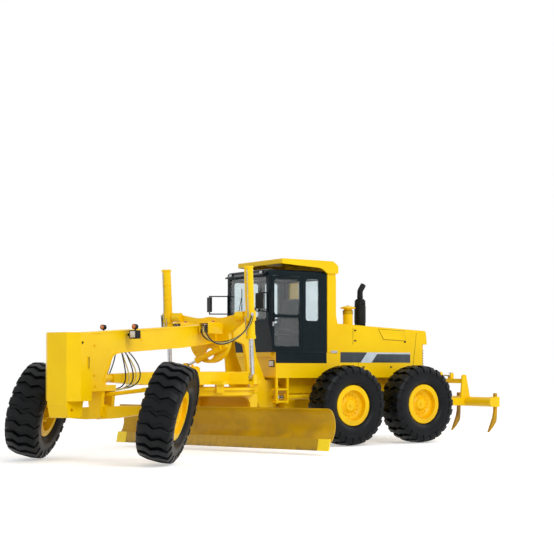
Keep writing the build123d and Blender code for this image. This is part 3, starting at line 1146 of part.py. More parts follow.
# ---- ripper ------------------------------------------------------------------------------------------------------
def ripper_mount():
    """Rear bracket: plate with the ripper's pins, the cylinder's lugs and the tie-down ears."""
    x, z = RIPPER_PIN
    root = REAR_END - 30
    half = RIPPER_LUG + 90
    body = cross_plate([(-half, 700, 40), (half, 700, 40), (half, RAIL_HIGH), (-half, RAIL_HIGH)], REAR_END - 60,
                       REAR_END - 1)
    for side in (1, -1):
        for face in (1, -1):
            near = side * RIPPER_LUG + face * (RIPPER_ARM_HALF + RUN)
            body += side_plate([(root, z - 100), (root, z + 160), (x - 60, z + 40, 40), (x - 60, z - 60, 40)],
                               near, near + face * RIPPER_CHEEK)
        body += pin_y(x, z, side * RIPPER_LUG - 60, side * RIPPER_LUG + 60, RIPPER_PIN_RADIUS)
    x, z = RIPPER_CYL
    for face in (1, -1):
        near = face * (RIPPER_EYE[1] / 2 + EYE_GAP)
        body += side_plate([(root, 1240), (root, RAIL_HIGH), (x - 55, z + 50, 30), (x + 45, z + 60, 30),
                            (REAR_END - 5, RAIL_HIGH), (REAR_END - 5, 1240)], near, near + face * RIPPER_CHEEK)
    reach = RIPPER_EYE[1] / 2 + EYE_GAP + RIPPER_CHEEK + 18
    body += pin_y(x, z, -reach, reach, RIPPER_EYE[2])
    x, z = REAR_TIE
    for side in (1, -1):
        y0, y1 = side * TIE_EAR_SIDE, side * (TIE_EAR_SIDE + TIE_EAR_WALL)
        body += slab(x, REAR_END - 50, y0, y1, z - TIE_EAR_RADIUS, z + TIE_EAR_RADIUS)
        body += pin_y(x, z, y0, y1, TIE_EAR_RADIUS)
        body -= pin_y(x, z, y0 - side, y1 + side, TIE_HOLE)
    return body


def ripper_frame():
    """Ripper: lower arms, round cross beam with shank pockets, and the post the cylinder pushes on."""
    x, z = RIPPER_BEAM
    top_x, top_z = RIPPER_TOP
    body = pin_y(x, z, -RIPPER_HALF, RIPPER_HALF, RIPPER_BEAM_RADIUS)
    for side in (1, -1):
        y0, y1 = (side * RIPPER_LUG + face * RIPPER_ARM_HALF for face in (-1, 1))
        body += side_plate([(x, z - 90), (RIPPER_PIN[0], z - 60), (RIPPER_PIN[0], z + 60), (x, z + 90)], y0, y1)
        body += pin_y(*RIPPER_PIN, y0, y1, 75)
        body -= pin_y(*RIPPER_PIN, y0 - 1, y1 + 1, RIPPER_PIN_RADIUS + PLAY)
        body += side_plate([(x - 90, z + 40), (x + 190, z + 60), (top_x + 60, top_z, 40), (top_x - 50, top_z, 40)],
                           y0 + 10, y1 - 10)
    body += slab(top_x - 50, top_x + 40, -RIPPER_LUG, RIPPER_LUG, top_z - 190, top_z - 90)
    for face in (1, -1):
        near = face * (RIPPER_EYE[1] / 2 + EYE_GAP)
        body += side_plate([(top_x - 50, top_z - 150), (top_x + 40, top_z - 150), (top_x + 50, top_z + 40, 30),
                            (top_x - 50, top_z + 40, 30)], near, near + face * RIPPER_CHEEK)
    for y in SHANKS:
        body += slab(x - 220, x - 60, y - 75, y + 75, z - 110, z + 110)
        body -= slab(x - 190, x - 120, y - SHANK_HALF - 3, y + SHANK_HALF + 3, z - 111, z + 111)
    return body


def ripper_shanks():
    """Shanks in their pockets with curved points, sloping forward."""
    x, z = RIPPER_BEAM
    shank = [(x - 187, z + 190, 15), (x - 123, z + 190, 15), (x - 123, z - 200, 200), (x - 95, z - 330, 200),
             (x + 55, z - 660), (x - 60, z - 560, 200), (x - 170, z - 430, 100), (x - 187, z - 250, 300)]
    return Compound([side_plate(shank, y - SHANK_HALF, y + SHANK_HALF) for y in SHANKS])


def ripper_line():
    """Base and eye of the ripper cylinder."""
    return (RIPPER_CYL[0], 0, RIPPER_CYL[1]), (RIPPER_TOP[0], 0, RIPPER_TOP[1])


def ripper_barrel():
    """Ripper cylinder's barrel on the rear bracket."""
    return ram_barrel(*ripper_line(), (0, 1, 0), RIPPER_RADIUS, RIPPER_ROD_RADIUS, RIPPER_LENGTH, RIPPER_EYE)


def ripper_rod():
    """Ripper cylinder's rod to the ripper's post."""
    return ram_rod(*ripper_line(), (0, 1, 0), RIPPER_ROD_RADIUS, RIPPER_ROD_START, RIPPER_EYE)


# ---- all pieces --------------------------------------------------------------------------------------------------
def pieces():
    """Every node's shape, placed as parked, in the rear frame."""
    made = {
        "rear_frame": REAR * rear_frame(),
        "tandem_axle": REAR * tandem_axle(),
        "engine_block": REAR * engine(),
        "platform": REAR * platform(),
        "hood": REAR * hood(),
        "radiator_grille": REAR * radiator_grille(),
        "cab_frame": REAR * cab_frame(),
        "cab_glass": REAR * cab_glass(),
        "canopy": REAR * canopy(),
        "operator_seat": REAR * seat(),
        "steering_console": REAR * steering_console(),
        "exhaust_stack": REAR * exhaust_stack(),
        "air_precleaner": REAR * air_precleaner(),
        "mirrors": REAR * mirrors(),
        "ripper_mount": REAR * ripper_mount(),
        "ripper_frame": REAR * ripper_frame(),
        "ripper_shanks": REAR * ripper_shanks(),
        "ripper_cylinder": REAR * ripper_barrel(),
        "ripper_rod": REAR * ripper_rod(),
        "front_frame": FRONT * front_frame(),
        "push_block": FRONT * push_block(),
        "lifter_ring": FRONT * lifter_ring(),
        "lift_cylinders": FRONT * Compound([lift_barrel(side) for side in (1, -1)]),
        "head_lamps": FRONT * head_lamps(),
        "drawbar": FRONT * drawbar(),
        "side_shift_cylinder": FRONT * shift_barrel(),
        "side_shift_rod": FRONT * shift_rod(),
        "circle": CIRCLE * circle(),
        "tip_frame": CIRCLE * tip_frame(),
        "moldboard": BLADE * moldboard(),
        "cutting_edge": BLADE * cutting_edge(),
        "front_axle": AXLE * front_axle(),
        "lean_bar": AXLE * lean_bar(),
        "tie_rod": AXLE * tie_rod(),
    }
    for word, side in SIDES:
        made["lift_rod_" + word] = FRONT * lift_rod(side)
        made["articulation_cylinder_" + word] = REAR * articulation_barrel(side)
        made["articulation_rod_" + word] = REAR * articulation_rod(side)
        made["lean_bracket_" + word] = lean_place(side) * lean_bracket(side)
        made["knuckle_" + word] = steer_place(side) * knuckle(side)
        made["cab_door_" + word] = REAR * cab_door(side)
        made["door_glass_" + word] = REAR * door_glass(side)
        spots = (
            ("front", front_wheel_place(side), FRONT_DISC, FRONT_HUB_IN),
            ("middle", rear_wheel_place(1, side), REAR_DISC, REAR_HUB_IN),
            ("rear", rear_wheel_place(-1, side), REAR_DISC, REAR_HUB_IN),
        )
        for axle, place, disc, hub_in in spots:
            made[f"tyre_{axle}_{word}"] = place * tyre()
            made[f"rim_{axle}_{word}"] = place * on_side(rim(disc, hub_in), side)
    return made


def centred(made):
    """Shift that puts the middle of the whole machine's box over the origin."""
    boxes = [shape.bounding_box() for shape in made.values()]
    x = (min(box.min.X for box in boxes) + max(box.max.X for box in boxes)) / 2
    y = (min(box.min.Y for box in boxes) + max(box.max.Y for box in boxes)) / 2
    return Pos(-x, -y, 0)


if __name__ == "__main__":
    os.makedirs("parts", exist_ok=True)
    machine = pieces()
    shift = centred(machine)
    for name, shape in machine.items():
        export_step(shift * shape, f"parts/{name}.step")
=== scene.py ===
"""Motor grader: paint, tyres, lamps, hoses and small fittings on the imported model."""

import json
from math import atan2, cos, pi, radians

import bmesh
import bpy
from mathutils import Matrix, Vector


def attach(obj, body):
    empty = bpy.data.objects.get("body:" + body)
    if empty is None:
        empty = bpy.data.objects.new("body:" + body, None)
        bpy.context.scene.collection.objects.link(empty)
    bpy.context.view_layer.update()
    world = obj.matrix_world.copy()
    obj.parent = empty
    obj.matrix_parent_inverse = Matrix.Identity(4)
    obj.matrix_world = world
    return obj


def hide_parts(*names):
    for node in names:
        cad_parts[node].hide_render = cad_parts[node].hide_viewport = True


bl_info = {
    "name": "Motor grader finish",
    "version": (1, 0, 0),
    "blender": (4, 5, 0),
    "location": "View3D > Sidebar > Grader",
    "description": "Paints a motor grader's frame and adds its tyres, lamps, hoses, bolts and cab fittings",
    "category": "Object",
}

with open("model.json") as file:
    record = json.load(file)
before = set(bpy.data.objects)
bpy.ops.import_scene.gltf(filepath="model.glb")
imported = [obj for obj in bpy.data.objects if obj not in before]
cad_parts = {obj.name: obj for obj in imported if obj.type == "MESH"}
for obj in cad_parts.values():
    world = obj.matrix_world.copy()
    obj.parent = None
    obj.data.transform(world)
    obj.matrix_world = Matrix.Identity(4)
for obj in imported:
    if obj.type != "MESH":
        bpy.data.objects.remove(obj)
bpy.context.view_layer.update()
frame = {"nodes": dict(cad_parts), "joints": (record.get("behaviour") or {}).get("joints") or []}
NODES = frame["nodes"]
JOINTS = {joint["name"]: joint for joint in frame["joints"]}

# ---- places: the rear and front halves share the articulation pin -------------------------------
PIN = Vector(JOINTS["articulation"]["pos_m"])
TANDEM_X = 1.9
REAR = Matrix.Translation((PIN.x - TANDEM_X, PIN.y, 0))
ACROSS = Vector(JOINTS["drawbar_lift"]["axis"])
FRONT = Matrix.Translation((PIN.x, PIN.y, 0)) @ Matrix.Rotation(atan2(-ACROSS.x, ACROSS.y), 4, "Z")
SIDES = (("left", 1), ("right", -1))
SHARP = radians(35)     # an edge that turns more than this is eased and shaded as an edge


def placed(point, across, up):
    """Matrix at a point whose Y runs along across and whose Z runs near up."""
    y = Vector(across).normalized()
    x = y.cross(Vector(up)).normalized()
    z = x.cross(y)
    return Matrix.Translation(point) @ Matrix((x, y, z)).transposed().to_4x4()


def plan_place(joint, across):
    """Matrix on the ground under a joint, Y along the axis of another."""
    spot = JOINTS[joint]["pos_m"]
    return placed((spot[0], spot[1], 0), JOINTS[across]["axis"], (0, 0, 1))


def wheel_place(axle, side):
    """Middle of a tyre, Y along its spindle."""
    joint = JOINTS[f"{axle}_wheel_{side}"]
    up = JOINTS["steer_" + side]["axis"] if axle == "front" else (0, 0, 1)
    return placed(Vector(joint["pos_m"]), joint["axis"], up)


CIRCLE = plan_place("circle_turn", "blade_side_shift")
BLADE_SLID = 0.2        # parked slide of the blade along its rails
BLADE = CIRCLE @ Matrix.Translation((0, BLADE_SLID, 0))
BIT_START = 2.209       # inner end of an end bit, out from the blade's middle


# ---- colour and nodes ---------------------------------------------------------------------------
def linear(colour):
    """sRGB hex, such as F2B705, to linear RGBA."""
    parts = [int(colour[i:i + 2], 16) / 255 for i in (0, 2, 4)]
    return [c / 12.92 if c <= 0.04045 else ((c + 0.055) / 1.055) ** 2.4 for c in parts] + [1.0]


def fill(tree, node, inputs):
    """Links or sets a node's inputs."""
    for name, value in inputs.items():
        if isinstance(value, bpy.types.NodeSocket):
            tree.links.new(value, node.inputs[name])
        else:
            node.inputs[name].default_value = value


def add_node(tree, kind, inputs=None, **settings):
    """Adds a node, sets its properties, and fills or links its inputs."""
    node = tree.nodes.new("ShaderNode" + kind)
    for name, value in settings.items():
        setattr(node, name, value)
    fill(tree, node, inputs or {})
    return node


def new_finish(name):
    """Empty material with its output, principled surface and object coordinates."""
    finish = bpy.data.materials.new(name)
    finish.use_nodes = True
    tree = finish.node_tree
    tree.nodes.clear()
    surface = add_node(tree, "BsdfPrincipled")
    add_node(tree, "OutputMaterial", {"Surface": surface.outputs[0]})
    coordinates = add_node(tree, "TexCoord").outputs["Object"]
    return finish, tree, surface, coordinates


def patches(tree, coordinates, period_mm, low, high, detail=3.0, stretch=(1, 1, 1)):
    """Noise of a given size in millimetres, ramped from 0 at low to 1 at high."""
    moved = add_node(tree, "Mapping", {"Vector": coordinates, "Scale": stretch})
    noise = add_node(tree, "TexNoise", {"Vector": moved.outputs[0], "Scale": 1000 / period_mm,
                                        "Detail": detail})
    ramp = add_node(tree, "MapRange", {"Value": noise.outputs["Fac"], "From Min": low, "From Max": high})
    return ramp.outputs[0]


def blend(tree, amount, first, second):
    """Colour between two, by an amount."""
    # a colour mix has its colours at inputs 6 and 7, and its colour at output 2
    return add_node(tree, "Mix", {0: amount, 6: first, 7: second}, data_type="RGBA").outputs[2]


def product(tree, first, second):
    """Two values multiplied."""
    return add_node(tree, "Math", {0: first, 1: second}, operation="MULTIPLY").outputs[0]


def larger(tree, first, second):
    """The larger of two values."""
    return add_node(tree, "Math", {0: first, 1: second}, operation="MAXIMUM").outputs[0]


def ranged(tree, value, low, high):
    """A value from 0 to 1, spread from low to high."""
    return add_node(tree, "MapRange", {"Value": value, "To Min": low, "To Max": high}).outputs[0]


def seen(tree):
    """1 for what the camera sees, straight on, mirrored or through glass."""
    path = add_node(tree, "LightPath").outputs
    return larger(tree, larger(tree, path["Is Camera Ray"], path["Is Glossy Ray"]),
                  path["Is Transmission Ray"])


def facing_up(tree):
    """1 on level tops, 0 on walls and undersides."""
    normal = add_node(tree, "NewGeometry").outputs["Normal"]
    height = add_node(tree, "SeparateXYZ", {"Vector": normal}).outputs["Z"]
    return add_node(tree, "MapRange", {"Value": height, "From Min": 0.3, "From Max": 0.95}).outputs[0]


def low_down(tree, coordinates, top, bottom):
    """1 near the ground, 0 above top, in metres."""
    height = add_node(tree, "SeparateXYZ", {"Vector": coordinates}).outputs["Z"]
    return add_node(tree, "MapRange", {"Value": height, "From Min": top, "From Max": bottom}).outputs[0]


def bumped(tree, surface, height, depth_mm, strength=1.0):
    """Bump of a real depth on a surface."""
    bump = add_node(tree, "Bump", {"Height": height, "Strength": strength, "Distance": depth_mm / 1000})
    tree.links.new(bump.outputs[0], surface.inputs["Normal"])


# ---- finishes -----------------------------------------------------------------------------------
def machine_enamel(name, colour, shade, dust, dust_amount):
    """Sprayed enamel: glossy, with slight orange peel, fading in patches, and dust on tops and low down. On
    the blade and the ripper shanks the colours given are darkened as painted shade, and on the shanks the
    dust colour is painted shadow as well.
    """
    finish, tree, surface, spot = new_finish(name)
    fade_and_shade = patches(tree, spot, 900, 0.35, 0.7)
    coat = blend(tree, fade_and_shade, linear(colour), linear(shade))
    film = patches(tree, spot, 260, 0.42, 0.75, detail=6.0)
    low = low_down(tree, spot, 1.3, 0.1)
    settled = larger(tree, facing_up(tree), low)
    dust_and_shade = product(tree, product(tree, film, settled), dust_amount)
    fill(tree, surface, {"Base Color": blend(tree, dust_and_shade, coat, linear(dust)),
                         "Roughness": ranged(tree, dust_and_shade, 0.3, 0.7),
                         "IOR": 1.5, "Specular IOR Level": 0.22})
    # orange peel is about 2 mm across, drawn at 14 mm so that it shows
    peel = patches(tree, spot, 14, 0.0, 1.0, detail=1.0)
    bumped(tree, surface, peel, 0.25, 0.5)
    return finish


def tyre_rubber(name):
    """Vulcanised rubber, moulded: blue-black, matt, greyer where dust sits in the tread."""
    finish, tree, surface, spot = new_finish(name)
    dust = patches(tree, spot, 180, 0.45, 0.8, detail=8.0)
    colour = blend(tree, product(tree, dust, 0.25), linear("07090C"), linear("24282C"))
    fill(tree, surface, {"Base Color": colour, "Roughness": 0.42, "IOR": 1.52,
                         "Specular IOR Level": 0.16})
    grain = patches(tree, spot, 9, 0.0, 1.0, detail=4.0)
    bumped(tree, surface, grain, 0.8, 0.6)
    return finish


def hard_chrome(name):
    """Ground and hard-chromed rod: a mirror with faint rings from grinding and a thin oil film."""
    finish, tree, surface, spot = new_finish(name)
    film = patches(tree, spot, 70, 0.3, 0.8)
    fill(tree, surface, {"Base Color": blend(tree, film, linear("C9CCD0"), linear("AEB2B8")),
                         "Metallic": 1.0, "Roughness": ranged(tree, film, 0.12, 0.26)})
    rings = patches(tree, spot, 12, 0.0, 1.0, stretch=(1, 1, 6))
    bumped(tree, surface, rings, 0.05, 0.3)
    return finish


def safety_glass(name, tint):
    """Toughened pane: clear, faintly blue-grey, with a thin film of dust."""
    finish, tree, surface, spot = new_finish(name)
    film = patches(tree, spot, 240, 0.4, 0.8)
    fill(tree, surface, {"Base Color": blend(tree, film, linear(tint), linear("F2F7F8")),
                         "Transmission Weight": 0.97, "Roughness": ranged(tree, film, 0.02, 0.09),
                         "IOR": 1.45})
    return finish


def plated_steel(name, bright, dark, rough_low, rough_high, grain_mm):
    """Zinc-plated steel: metallic and cloudy, with a fine grain."""
    finish, tree, surface, spot = new_finish(name)
    streaks = patches(tree, spot, grain_mm, 0.3, 0.75, detail=5.0)
    fill(tree, surface, {"Base Color": blend(tree, streaks, linear(bright), linear(dark)),
                         "Metallic": 0.85,
                         "Roughness": ranged(tree, streaks, rough_low, rough_high)})
    bumped(tree, surface, streaks, 0.4, 0.5)
    return finish


def matt_black(name, colour, worn, rough, grain_mm, shine=0.3):
    """Stove enamel or moulded plastic: near black, fine-grained, slightly greyed in patches."""
    finish, tree, surface, spot = new_finish(name)
    worn_spots = patches(tree, spot, 160, 0.45, 0.8, detail=5.0)
    fill(tree, surface, {"Base Color": blend(tree, worn_spots, linear(colour), linear(worn)),
                         "Roughness": rough, "IOR": 1.5, "Specular IOR Level": shine})
    bumped(tree, surface, patches(tree, spot, grain_mm, 0.0, 1.0, detail=2.0), 0.3, 0.5)
    return finish


def woven_cloth(name, colour, thread):
    """Woven seat cloth: 2 mm threads drawn 8 mm wide, matt with a soft sheen."""
    finish, tree, surface, spot = new_finish(name)
    wave = {"Vector": spot, "Scale": 20.0, "Distortion": 0.4}
    weave, cross = (add_node(tree, "TexWave", wave, bands_direction=way) for way in "YZ")
    knit = product(tree, weave.outputs["Fac"], cross.outputs["Fac"])
    fill(tree, surface, {"Base Color": blend(tree, knit, linear(colour), linear(thread)),
                         "Roughness": 0.9, "Sheen Weight": 0.3})
    bumped(tree, surface, knit, 0.8, 0.7)
    return finish


def lamp_lens(name, colour, glow):
    """Moulded lens over a reflector: clear plastic with fine upright ribs."""
    finish, tree, surface, spot = new_finish(name)
    ribs = add_node(tree, "TexWave", {"Vector": spot, "Scale": 26.0}, bands_direction="Y")
    ribs = ribs.outputs["Fac"]
    fill(tree, surface, {"Base Color": blend(tree, ribs, linear(colour), linear(glow)),
                         "Roughness": 0.12, "Coat Weight": 0.6})
    bumped(tree, surface, ribs, 1.5, 0.6)
    return finish


def shaded_edge_enamel(name, colour, worn, bright):
    """Cutting edge's enamel, its colour darkened as painted shade: scoured along the foot, and bright yellow
    on the bit at each end.
    """
    finish, tree, surface, spot = new_finish(name)
    turned = add_node(tree, "Mapping", {"Vector": spot, "Location": BLADE.to_translation(),
                                        "Rotation": BLADE.to_euler()}, vector_type="TEXTURE")
    parts = add_node(tree, "SeparateXYZ", {"Vector": turned.outputs[0]})
    side = add_node(tree, "Math", {0: parts.outputs["Y"]}, operation="ABSOLUTE").outputs[0]
    end = add_node(tree, "MapRange", {"Value": side, "From Min": BIT_START - 0.0005,
                                      "From Max": BIT_START + 0.0005}).outputs[0]
    scuff = patches(tree, spot, 90, 0.35, 0.7, detail=6.0, stretch=(1, 1, 0.3))
    foot = low_down(tree, turned.outputs[0], 0.17, 0.09)
    plain = blend(tree, product(tree, scuff, foot), linear(colour), linear(worn))
    fill(tree, surface, {"Base Color": blend(tree, end, plain, linear(bright)), "Roughness": 0.42})
    bumped(tree, surface, scuff, 0.3, 0.4)
    return finish


FINISHES = {}


# matt finishes: colour, worn colour, roughness, grain in mm, and shine where it isn't 0.3
BLACKS = {
    "dark_enamel": ("cab_stove_enamel", "04141A", "081C23", 0.3, 20, 0.14),
    "soot_black": ("heatproof_black", "0C0E10", "1C1D1F", 0.55, 12, 0.2),
    "plastic": ("moulded_black_plastic", "101113", "1C1E20", 0.5, 6, 0.25),
    "hose_rubber": ("hose_rubber", "1A1B1D", "2C2D2E", 0.5, 5),
    "hose_yellow": ("hose_sleeve_pale", "D8C87A", "B8A55A", 0.5, 5),
    "cast_steel": ("forged_steel", "3A3632", "55504A", 0.6, 18),
    "stripe_grey": ("stripe_dark_grey", "3A4248", "454D52", 0.35, 14),
    "stripe_pale": ("stripe_pale_blue", "C9D6DE", "B5C4CE", 0.35, 14),
    # near black sheets laid in seams, slots and recesses: painted shadow
    "painted_seam_shadow": ("seam_shadow", "17140A", "231E0E", 0.8, 10),
}
# enamels: colour, fading tone, dust, and how much of it; the blade's and the shanks' colours, and the shanks'
# dust, are painted shade
ENAMELS = {
    "wheel_enamel": ("wheel_enamel", "FFD400", "F9C200", "A06E2C", 0.4),
    # the blade's colour and its second tone are a darkened yellow: painted shade for the blade, which sits
    # low and faces down
    "blade_enamel_painted_shade": ("blade_enamel_painted_shade", "DDB000", "BE9200", "86693A", 0.6),
    # the shanks' dark brown second tone and their dust colour are painted shadow, laid in patches over the
    # yellow
    "shank_enamel_painted_shadow": ("shank_enamel_painted_shadow", "D6A40C", "8A6A24", "6B5328", 0.7),
}
LENSES = {
    "clear_lens": ("clear_lens", "E8ECEC", "B5BCC0"),
    "amber_lens": ("amber_lens", "E8790C", "C65A04"),
    "red_lens": ("red_lens", "C81C14", "8E0F0C"),
}


def mix_finishes(paint):
    """Makes every finish once from the panel's colours."""
    FINISHES["enamel"] = machine_enamel("sprayed_yellow_enamel", paint.yellow, "F7C800", "BFA050",
                                        0.3)
    for mixer, table in ((machine_enamel, ENAMELS), (matt_black, BLACKS), (lamp_lens, LENSES)):
        for key, settings in table.items():
            FINISHES[key] = mixer(*settings)
    # the edge's colour B8920E is a darkened yellow: painted shade, as on the blade
    FINISHES["shaded_edge_enamel"] = shaded_edge_enamel("edge_enamel_scoured", "B8920E", "6E5A2C", "FFE020")
    FINISHES["rubber"] = tyre_rubber("moulded_rubber")
    FINISHES["chrome"] = hard_chrome("hard_chrome")
    FINISHES["glass"] = safety_glass("toughened_glass", "E6F0F2")
    FINISHES["zinc"] = plated_steel("zinc_plated_steel", "B9BBBE", "8E9093", 0.3, 0.5, 30)
    FINISHES["cloth"] = woven_cloth("woven_seat_cloth", "1C1D20", "33353A")


NODE_FINISH = {
    "engine_block": "cast_steel", "radiator_grille": "soot_black", "cab_frame": "dark_enamel",
    "cab_glass": "glass", "operator_seat": "cloth", "steering_console": "plastic",
    "exhaust_stack": "soot_black", "mirrors": "soot_black", "ripper_shanks": "shank_enamel_painted_shadow",
    "ripper_rod": "chrome", "side_shift_rod": "chrome", "moldboard": "blade_enamel_painted_shade",
    "cutting_edge": "shaded_edge_enamel", "head_lamps": "soot_black",
}
NODE_FAMILIES = (
    ("lift_rod", "chrome"), ("articulation_rod", "chrome"), ("cab_door", "dark_enamel"),
    ("door_glass", "glass"), ("tyre", "rubber"), ("rim", "wheel_enamel"),
)


def finish_of(node):
    """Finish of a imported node, by its name or its family."""
    if node in NODE_FINISH:
        return NODE_FINISH[node]
    for family, name in NODE_FAMILIES:
        if node.startswith(family):
            return name
    return "enamel"


# ---- settings -----------------------------------------------------------------------------------
class GraderPaint(bpy.types.PropertyGroup):
    yellow: bpy.props.StringProperty(
        name="Yellow", description="sRGB hex of the machine enamel", default="FFD400")


class GraderSizes(bpy.types.PropertyGroup):
    lug_depth: bpy.props.FloatProperty(
        name="Lug depth", description="Height of the tread lugs", default=0.052, min=0.01, max=0.06,
        unit="LENGTH")
    lug_count: bpy.props.IntProperty(
        name="Lugs", description="Tread lugs round a tyre", default=24, min=12, max=40)


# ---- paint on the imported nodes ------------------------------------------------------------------
class GRADER_OT_paint(bpy.types.Operator):
    """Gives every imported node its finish"""
    bl_idname = "grader.paint"
    bl_label = "Paint the frame"

    def execute(self, context):
        mix_finishes(context.scene.grader_paint)
        for name, node in NODES.items():
            node.data.materials.clear()
            node.data.materials.append(FINISHES[finish_of(name)])
        return {"FINISHED"}


# ---- modelling tools ----------------------------------------------------------------------------
def deselect():
    """Leaves edit mode with nothing selected."""
    if bpy.context.object and bpy.context.object.mode != "OBJECT":
        bpy.ops.object.mode_set(mode="OBJECT")
    bpy.ops.object.select_all(action="DESELECT")


def hold(piece):
    """Selects one piece alone and makes it active."""
    deselect()
    piece.select_set(True)
    bpy.context.view_layer.objects.active = piece
    return piece


def start(kind, **settings):
    """Adds a primitive on its own, its place and size in its mesh."""
    deselect()
    getattr(bpy.ops.mesh, f"primitive_{kind}_add")(**settings)
    bpy.ops.object.transform_apply(location=True, rotation=True, scale=True)
    return bpy.context.object


def block(low, high):
    """Box between two corners."""
    low, high = Vector(low), Vector(high)
    return start("cube", size=1, location=(low + high) / 2, scale=high - low)


def side_block(side, along, out, up):
    """Box on one side of the machine, its out range measured from the middle plane."""
    near, far = sorted(side * y for y in out)
    return block((along[0], near, up[0]), (along[1], far, up[1]))


def rod(a, b, radius, sides=24):
    """Round bar between two points."""
    a, b = Vector(a), Vector(b)
    turn = (b - a).to_track_quat("Z", "Y").to_euler()
    return start("cylinder", vertices=sides, radius=radius, depth=(b - a).length,
                 location=(a + b) / 2, rotation=turn)


def pick(piece, test, kind="FACE"):
    """Edit mode with the faces chosen by middle and normal, or the points chosen by place."""
    hold(piece)
    bpy.ops.object.mode_set(mode="EDIT")
    bpy.ops.mesh.select_mode(type=kind)
    bpy.ops.mesh.select_all(action="DESELECT")
    mesh = bmesh.from_edit_mesh(piece.data)
    if kind == "FACE":
        for face in mesh.faces:
            if test(face.calc_center_median(), face.normal):
                face.select_set(True)
    else:
        for point in mesh.verts:
            if test(point.co):
                point.select_set(True)
    mesh.select_flush_mode()
    bmesh.update_edit_mesh(piece.data)


def forward(middle, normal):
    """True for a face that looks ahead."""
    return normal.x > 0.9


def inset(thickness, depth=0.0):
    """Insets the chosen faces and moves them out by depth."""
    bpy.ops.mesh.inset(thickness=thickness, depth=depth)


def push(move):
    """Extrudes the chosen faces along a move."""
    bpy.ops.mesh.extrude_region_move(TRANSFORM_OT_translate={"value": move})


def dished(piece, test, border, wall, depth):
    """Moves the middle of the chosen faces out by depth, inside a border and a narrow wall."""
    pick(piece, test)
    inset(border)
    inset(wall, depth)
    deselect()
    return piece


def modified(piece, kind, **settings):
    """Applies one modifier."""
    hold(piece)
    modifier = piece.modifiers.new(kind.lower(), kind)
    for name, value in settings.items():
        setattr(modifier, name, value)
    bpy.ops.object.modifier_apply(modifier=modifier.name)
    return piece


def eased(piece, width, segments=2):
    """Rounds a piece's sharp edges."""
    return modified(piece, "BEVEL", width=width, segments=segments, limit_method="ANGLE",
                    angle_limit=SHARP)


def joined(parts):
    """One object from several."""
    hold(parts[0])
    for part in parts[1:]:
        part.select_set(True)
    if len(parts) > 1:
        bpy.ops.object.join()
    return parts[0]


def copied(piece, places):
    """Copies of a piece, each with its own mesh, one at each place."""
    copies = []
    for place in places:
        copy = bpy.data.objects.new(piece.name, piece.data.copy())
        bpy.context.scene.collection.objects.link(copy)
        copy.data.transform(place)
        copies.append(copy)
    bpy.data.objects.remove(piece)
    return copies


def ring_of(count, middle, axis, out=Matrix()):
    """Places spaced evenly round an axis through a middle, each moved by out."""
    return [middle @ Matrix.Rotation(2 * pi * n / count, 4, axis) @ out for n in range(count)]


def outwards(piece):
    """Merges doubles and turns the faces outwards."""
    hold(piece)
    bpy.ops.object.mode_set(mode="EDIT")
    bpy.ops.mesh.select_all(action="SELECT")
    bpy.ops.mesh.remove_doubles(threshold=0.0002)
    bpy.ops.mesh.normals_make_consistent(inside=False)
    bpy.ops.object.mode_set(mode="OBJECT")
    return piece


def settle(piece, name, finish, body, place=None):
    """Puts a finished piece at its place, smooths and paints it, and hangs it on its body."""
    hold(piece)
    if place is not None:
        piece.data.transform(place)
    bpy.ops.object.shade_smooth_by_angle(angle=SHARP)
    piece.name = name
    piece.data.materials.clear()
    piece.data.materials.append(FINISHES[finish])
    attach(piece, body)
    return piece


def pipe(points, radius, order=4):
    """Hose or pipe on a smooth line through its route, with closed ends."""
    curve = bpy.data.curves.new("pipe", "CURVE")
    curve.dimensions = "3D"
    spline = curve.splines.new("NURBS")
    spline.points.add(len(points) - 1)
    for point, spot in zip(spline.points, points):
        point.co = (*spot, 1)
    spline.order_u = min(order, len(points))
    spline.use_endpoint_u = True
    curve.resolution_u = 6
    curve.bevel_depth = radius
    curve.bevel_resolution = 2
    curve.use_fill_caps = True
    piece = bpy.data.objects.new("pipe", curve)
    bpy.context.scene.collection.objects.link(piece)
    hold(piece)
    bpy.ops.object.convert(target="MESH")
    return outwards(bpy.context.object)


def hexagon(radius, height, stud=0.0):
    """Nut on the XY plane pointing up, with the end of its stud."""
    nut = start("cylinder", vertices=6, radius=radius, depth=height, location=(0, 0, height / 2))
    pick(nut, lambda middle, normal: normal.z > 0.9)
    inset(radius * 0.16, 0.12 * radius)
    if stud:
        inset(radius * 0.3)
        push((0, 0, stud))
    deselect()
    return nut


# ---- wheels -------------------------------------------------------------------------------------
# sidewall from the crown's edge to the bead: each step in towards the axis, and out from the tyre's middle
SIDEWALL = ((0.020, 0.024), (0.028, 0.010), (0.060, 0.008), (0.004, 0.004), (0.022, 0.0), (0.004, -0.003),
            (0.060, 0.0), (0.070, -0.016), (0.050, -0.030), (0.024, -0.038), (0.006, -0.014), (0.075, 0.0))
# foot line of a lug across the tyre: (along the tread, across, out from the axle)
LUG_LINE = ((-0.010, -0.243, 0.630), (0.0, -0.239, 0.684), (0.012, -0.222, 0.726),
            (-0.034, -0.116, 0.742), (0.034, -0.012, 0.742), (-0.028, 0.104, 0.742),
            (0.024, 0.222, 0.726), (0.0, 0.239, 0.684), (-0.010, 0.243, 0.630))
CROWN_RADIUS = 0.748
CROWN_WIDTH = 0.47
WHEEL_BOLTS = 0.2       # radius of the ring of nuts
WHEELS = [(axle, side) for axle in ("front", "middle", "rear") for side in ("left", "right")]


def tyre_casing():
    """Casing round the Y axis: crown, ribbed sidewalls, and beads inside the rim's flanges."""
    casing = start("cylinder", vertices=96, radius=CROWN_RADIUS, depth=CROWN_WIDTH,
                   rotation=(pi / 2, 0, 0))
    pick(casing, lambda middle, normal: abs(normal.y) > 0.9)
    for inward, outward in SIDEWALL:
        inset(inward, outward)
    bpy.ops.mesh.bridge_edge_loops()
    deselect()
    return casing


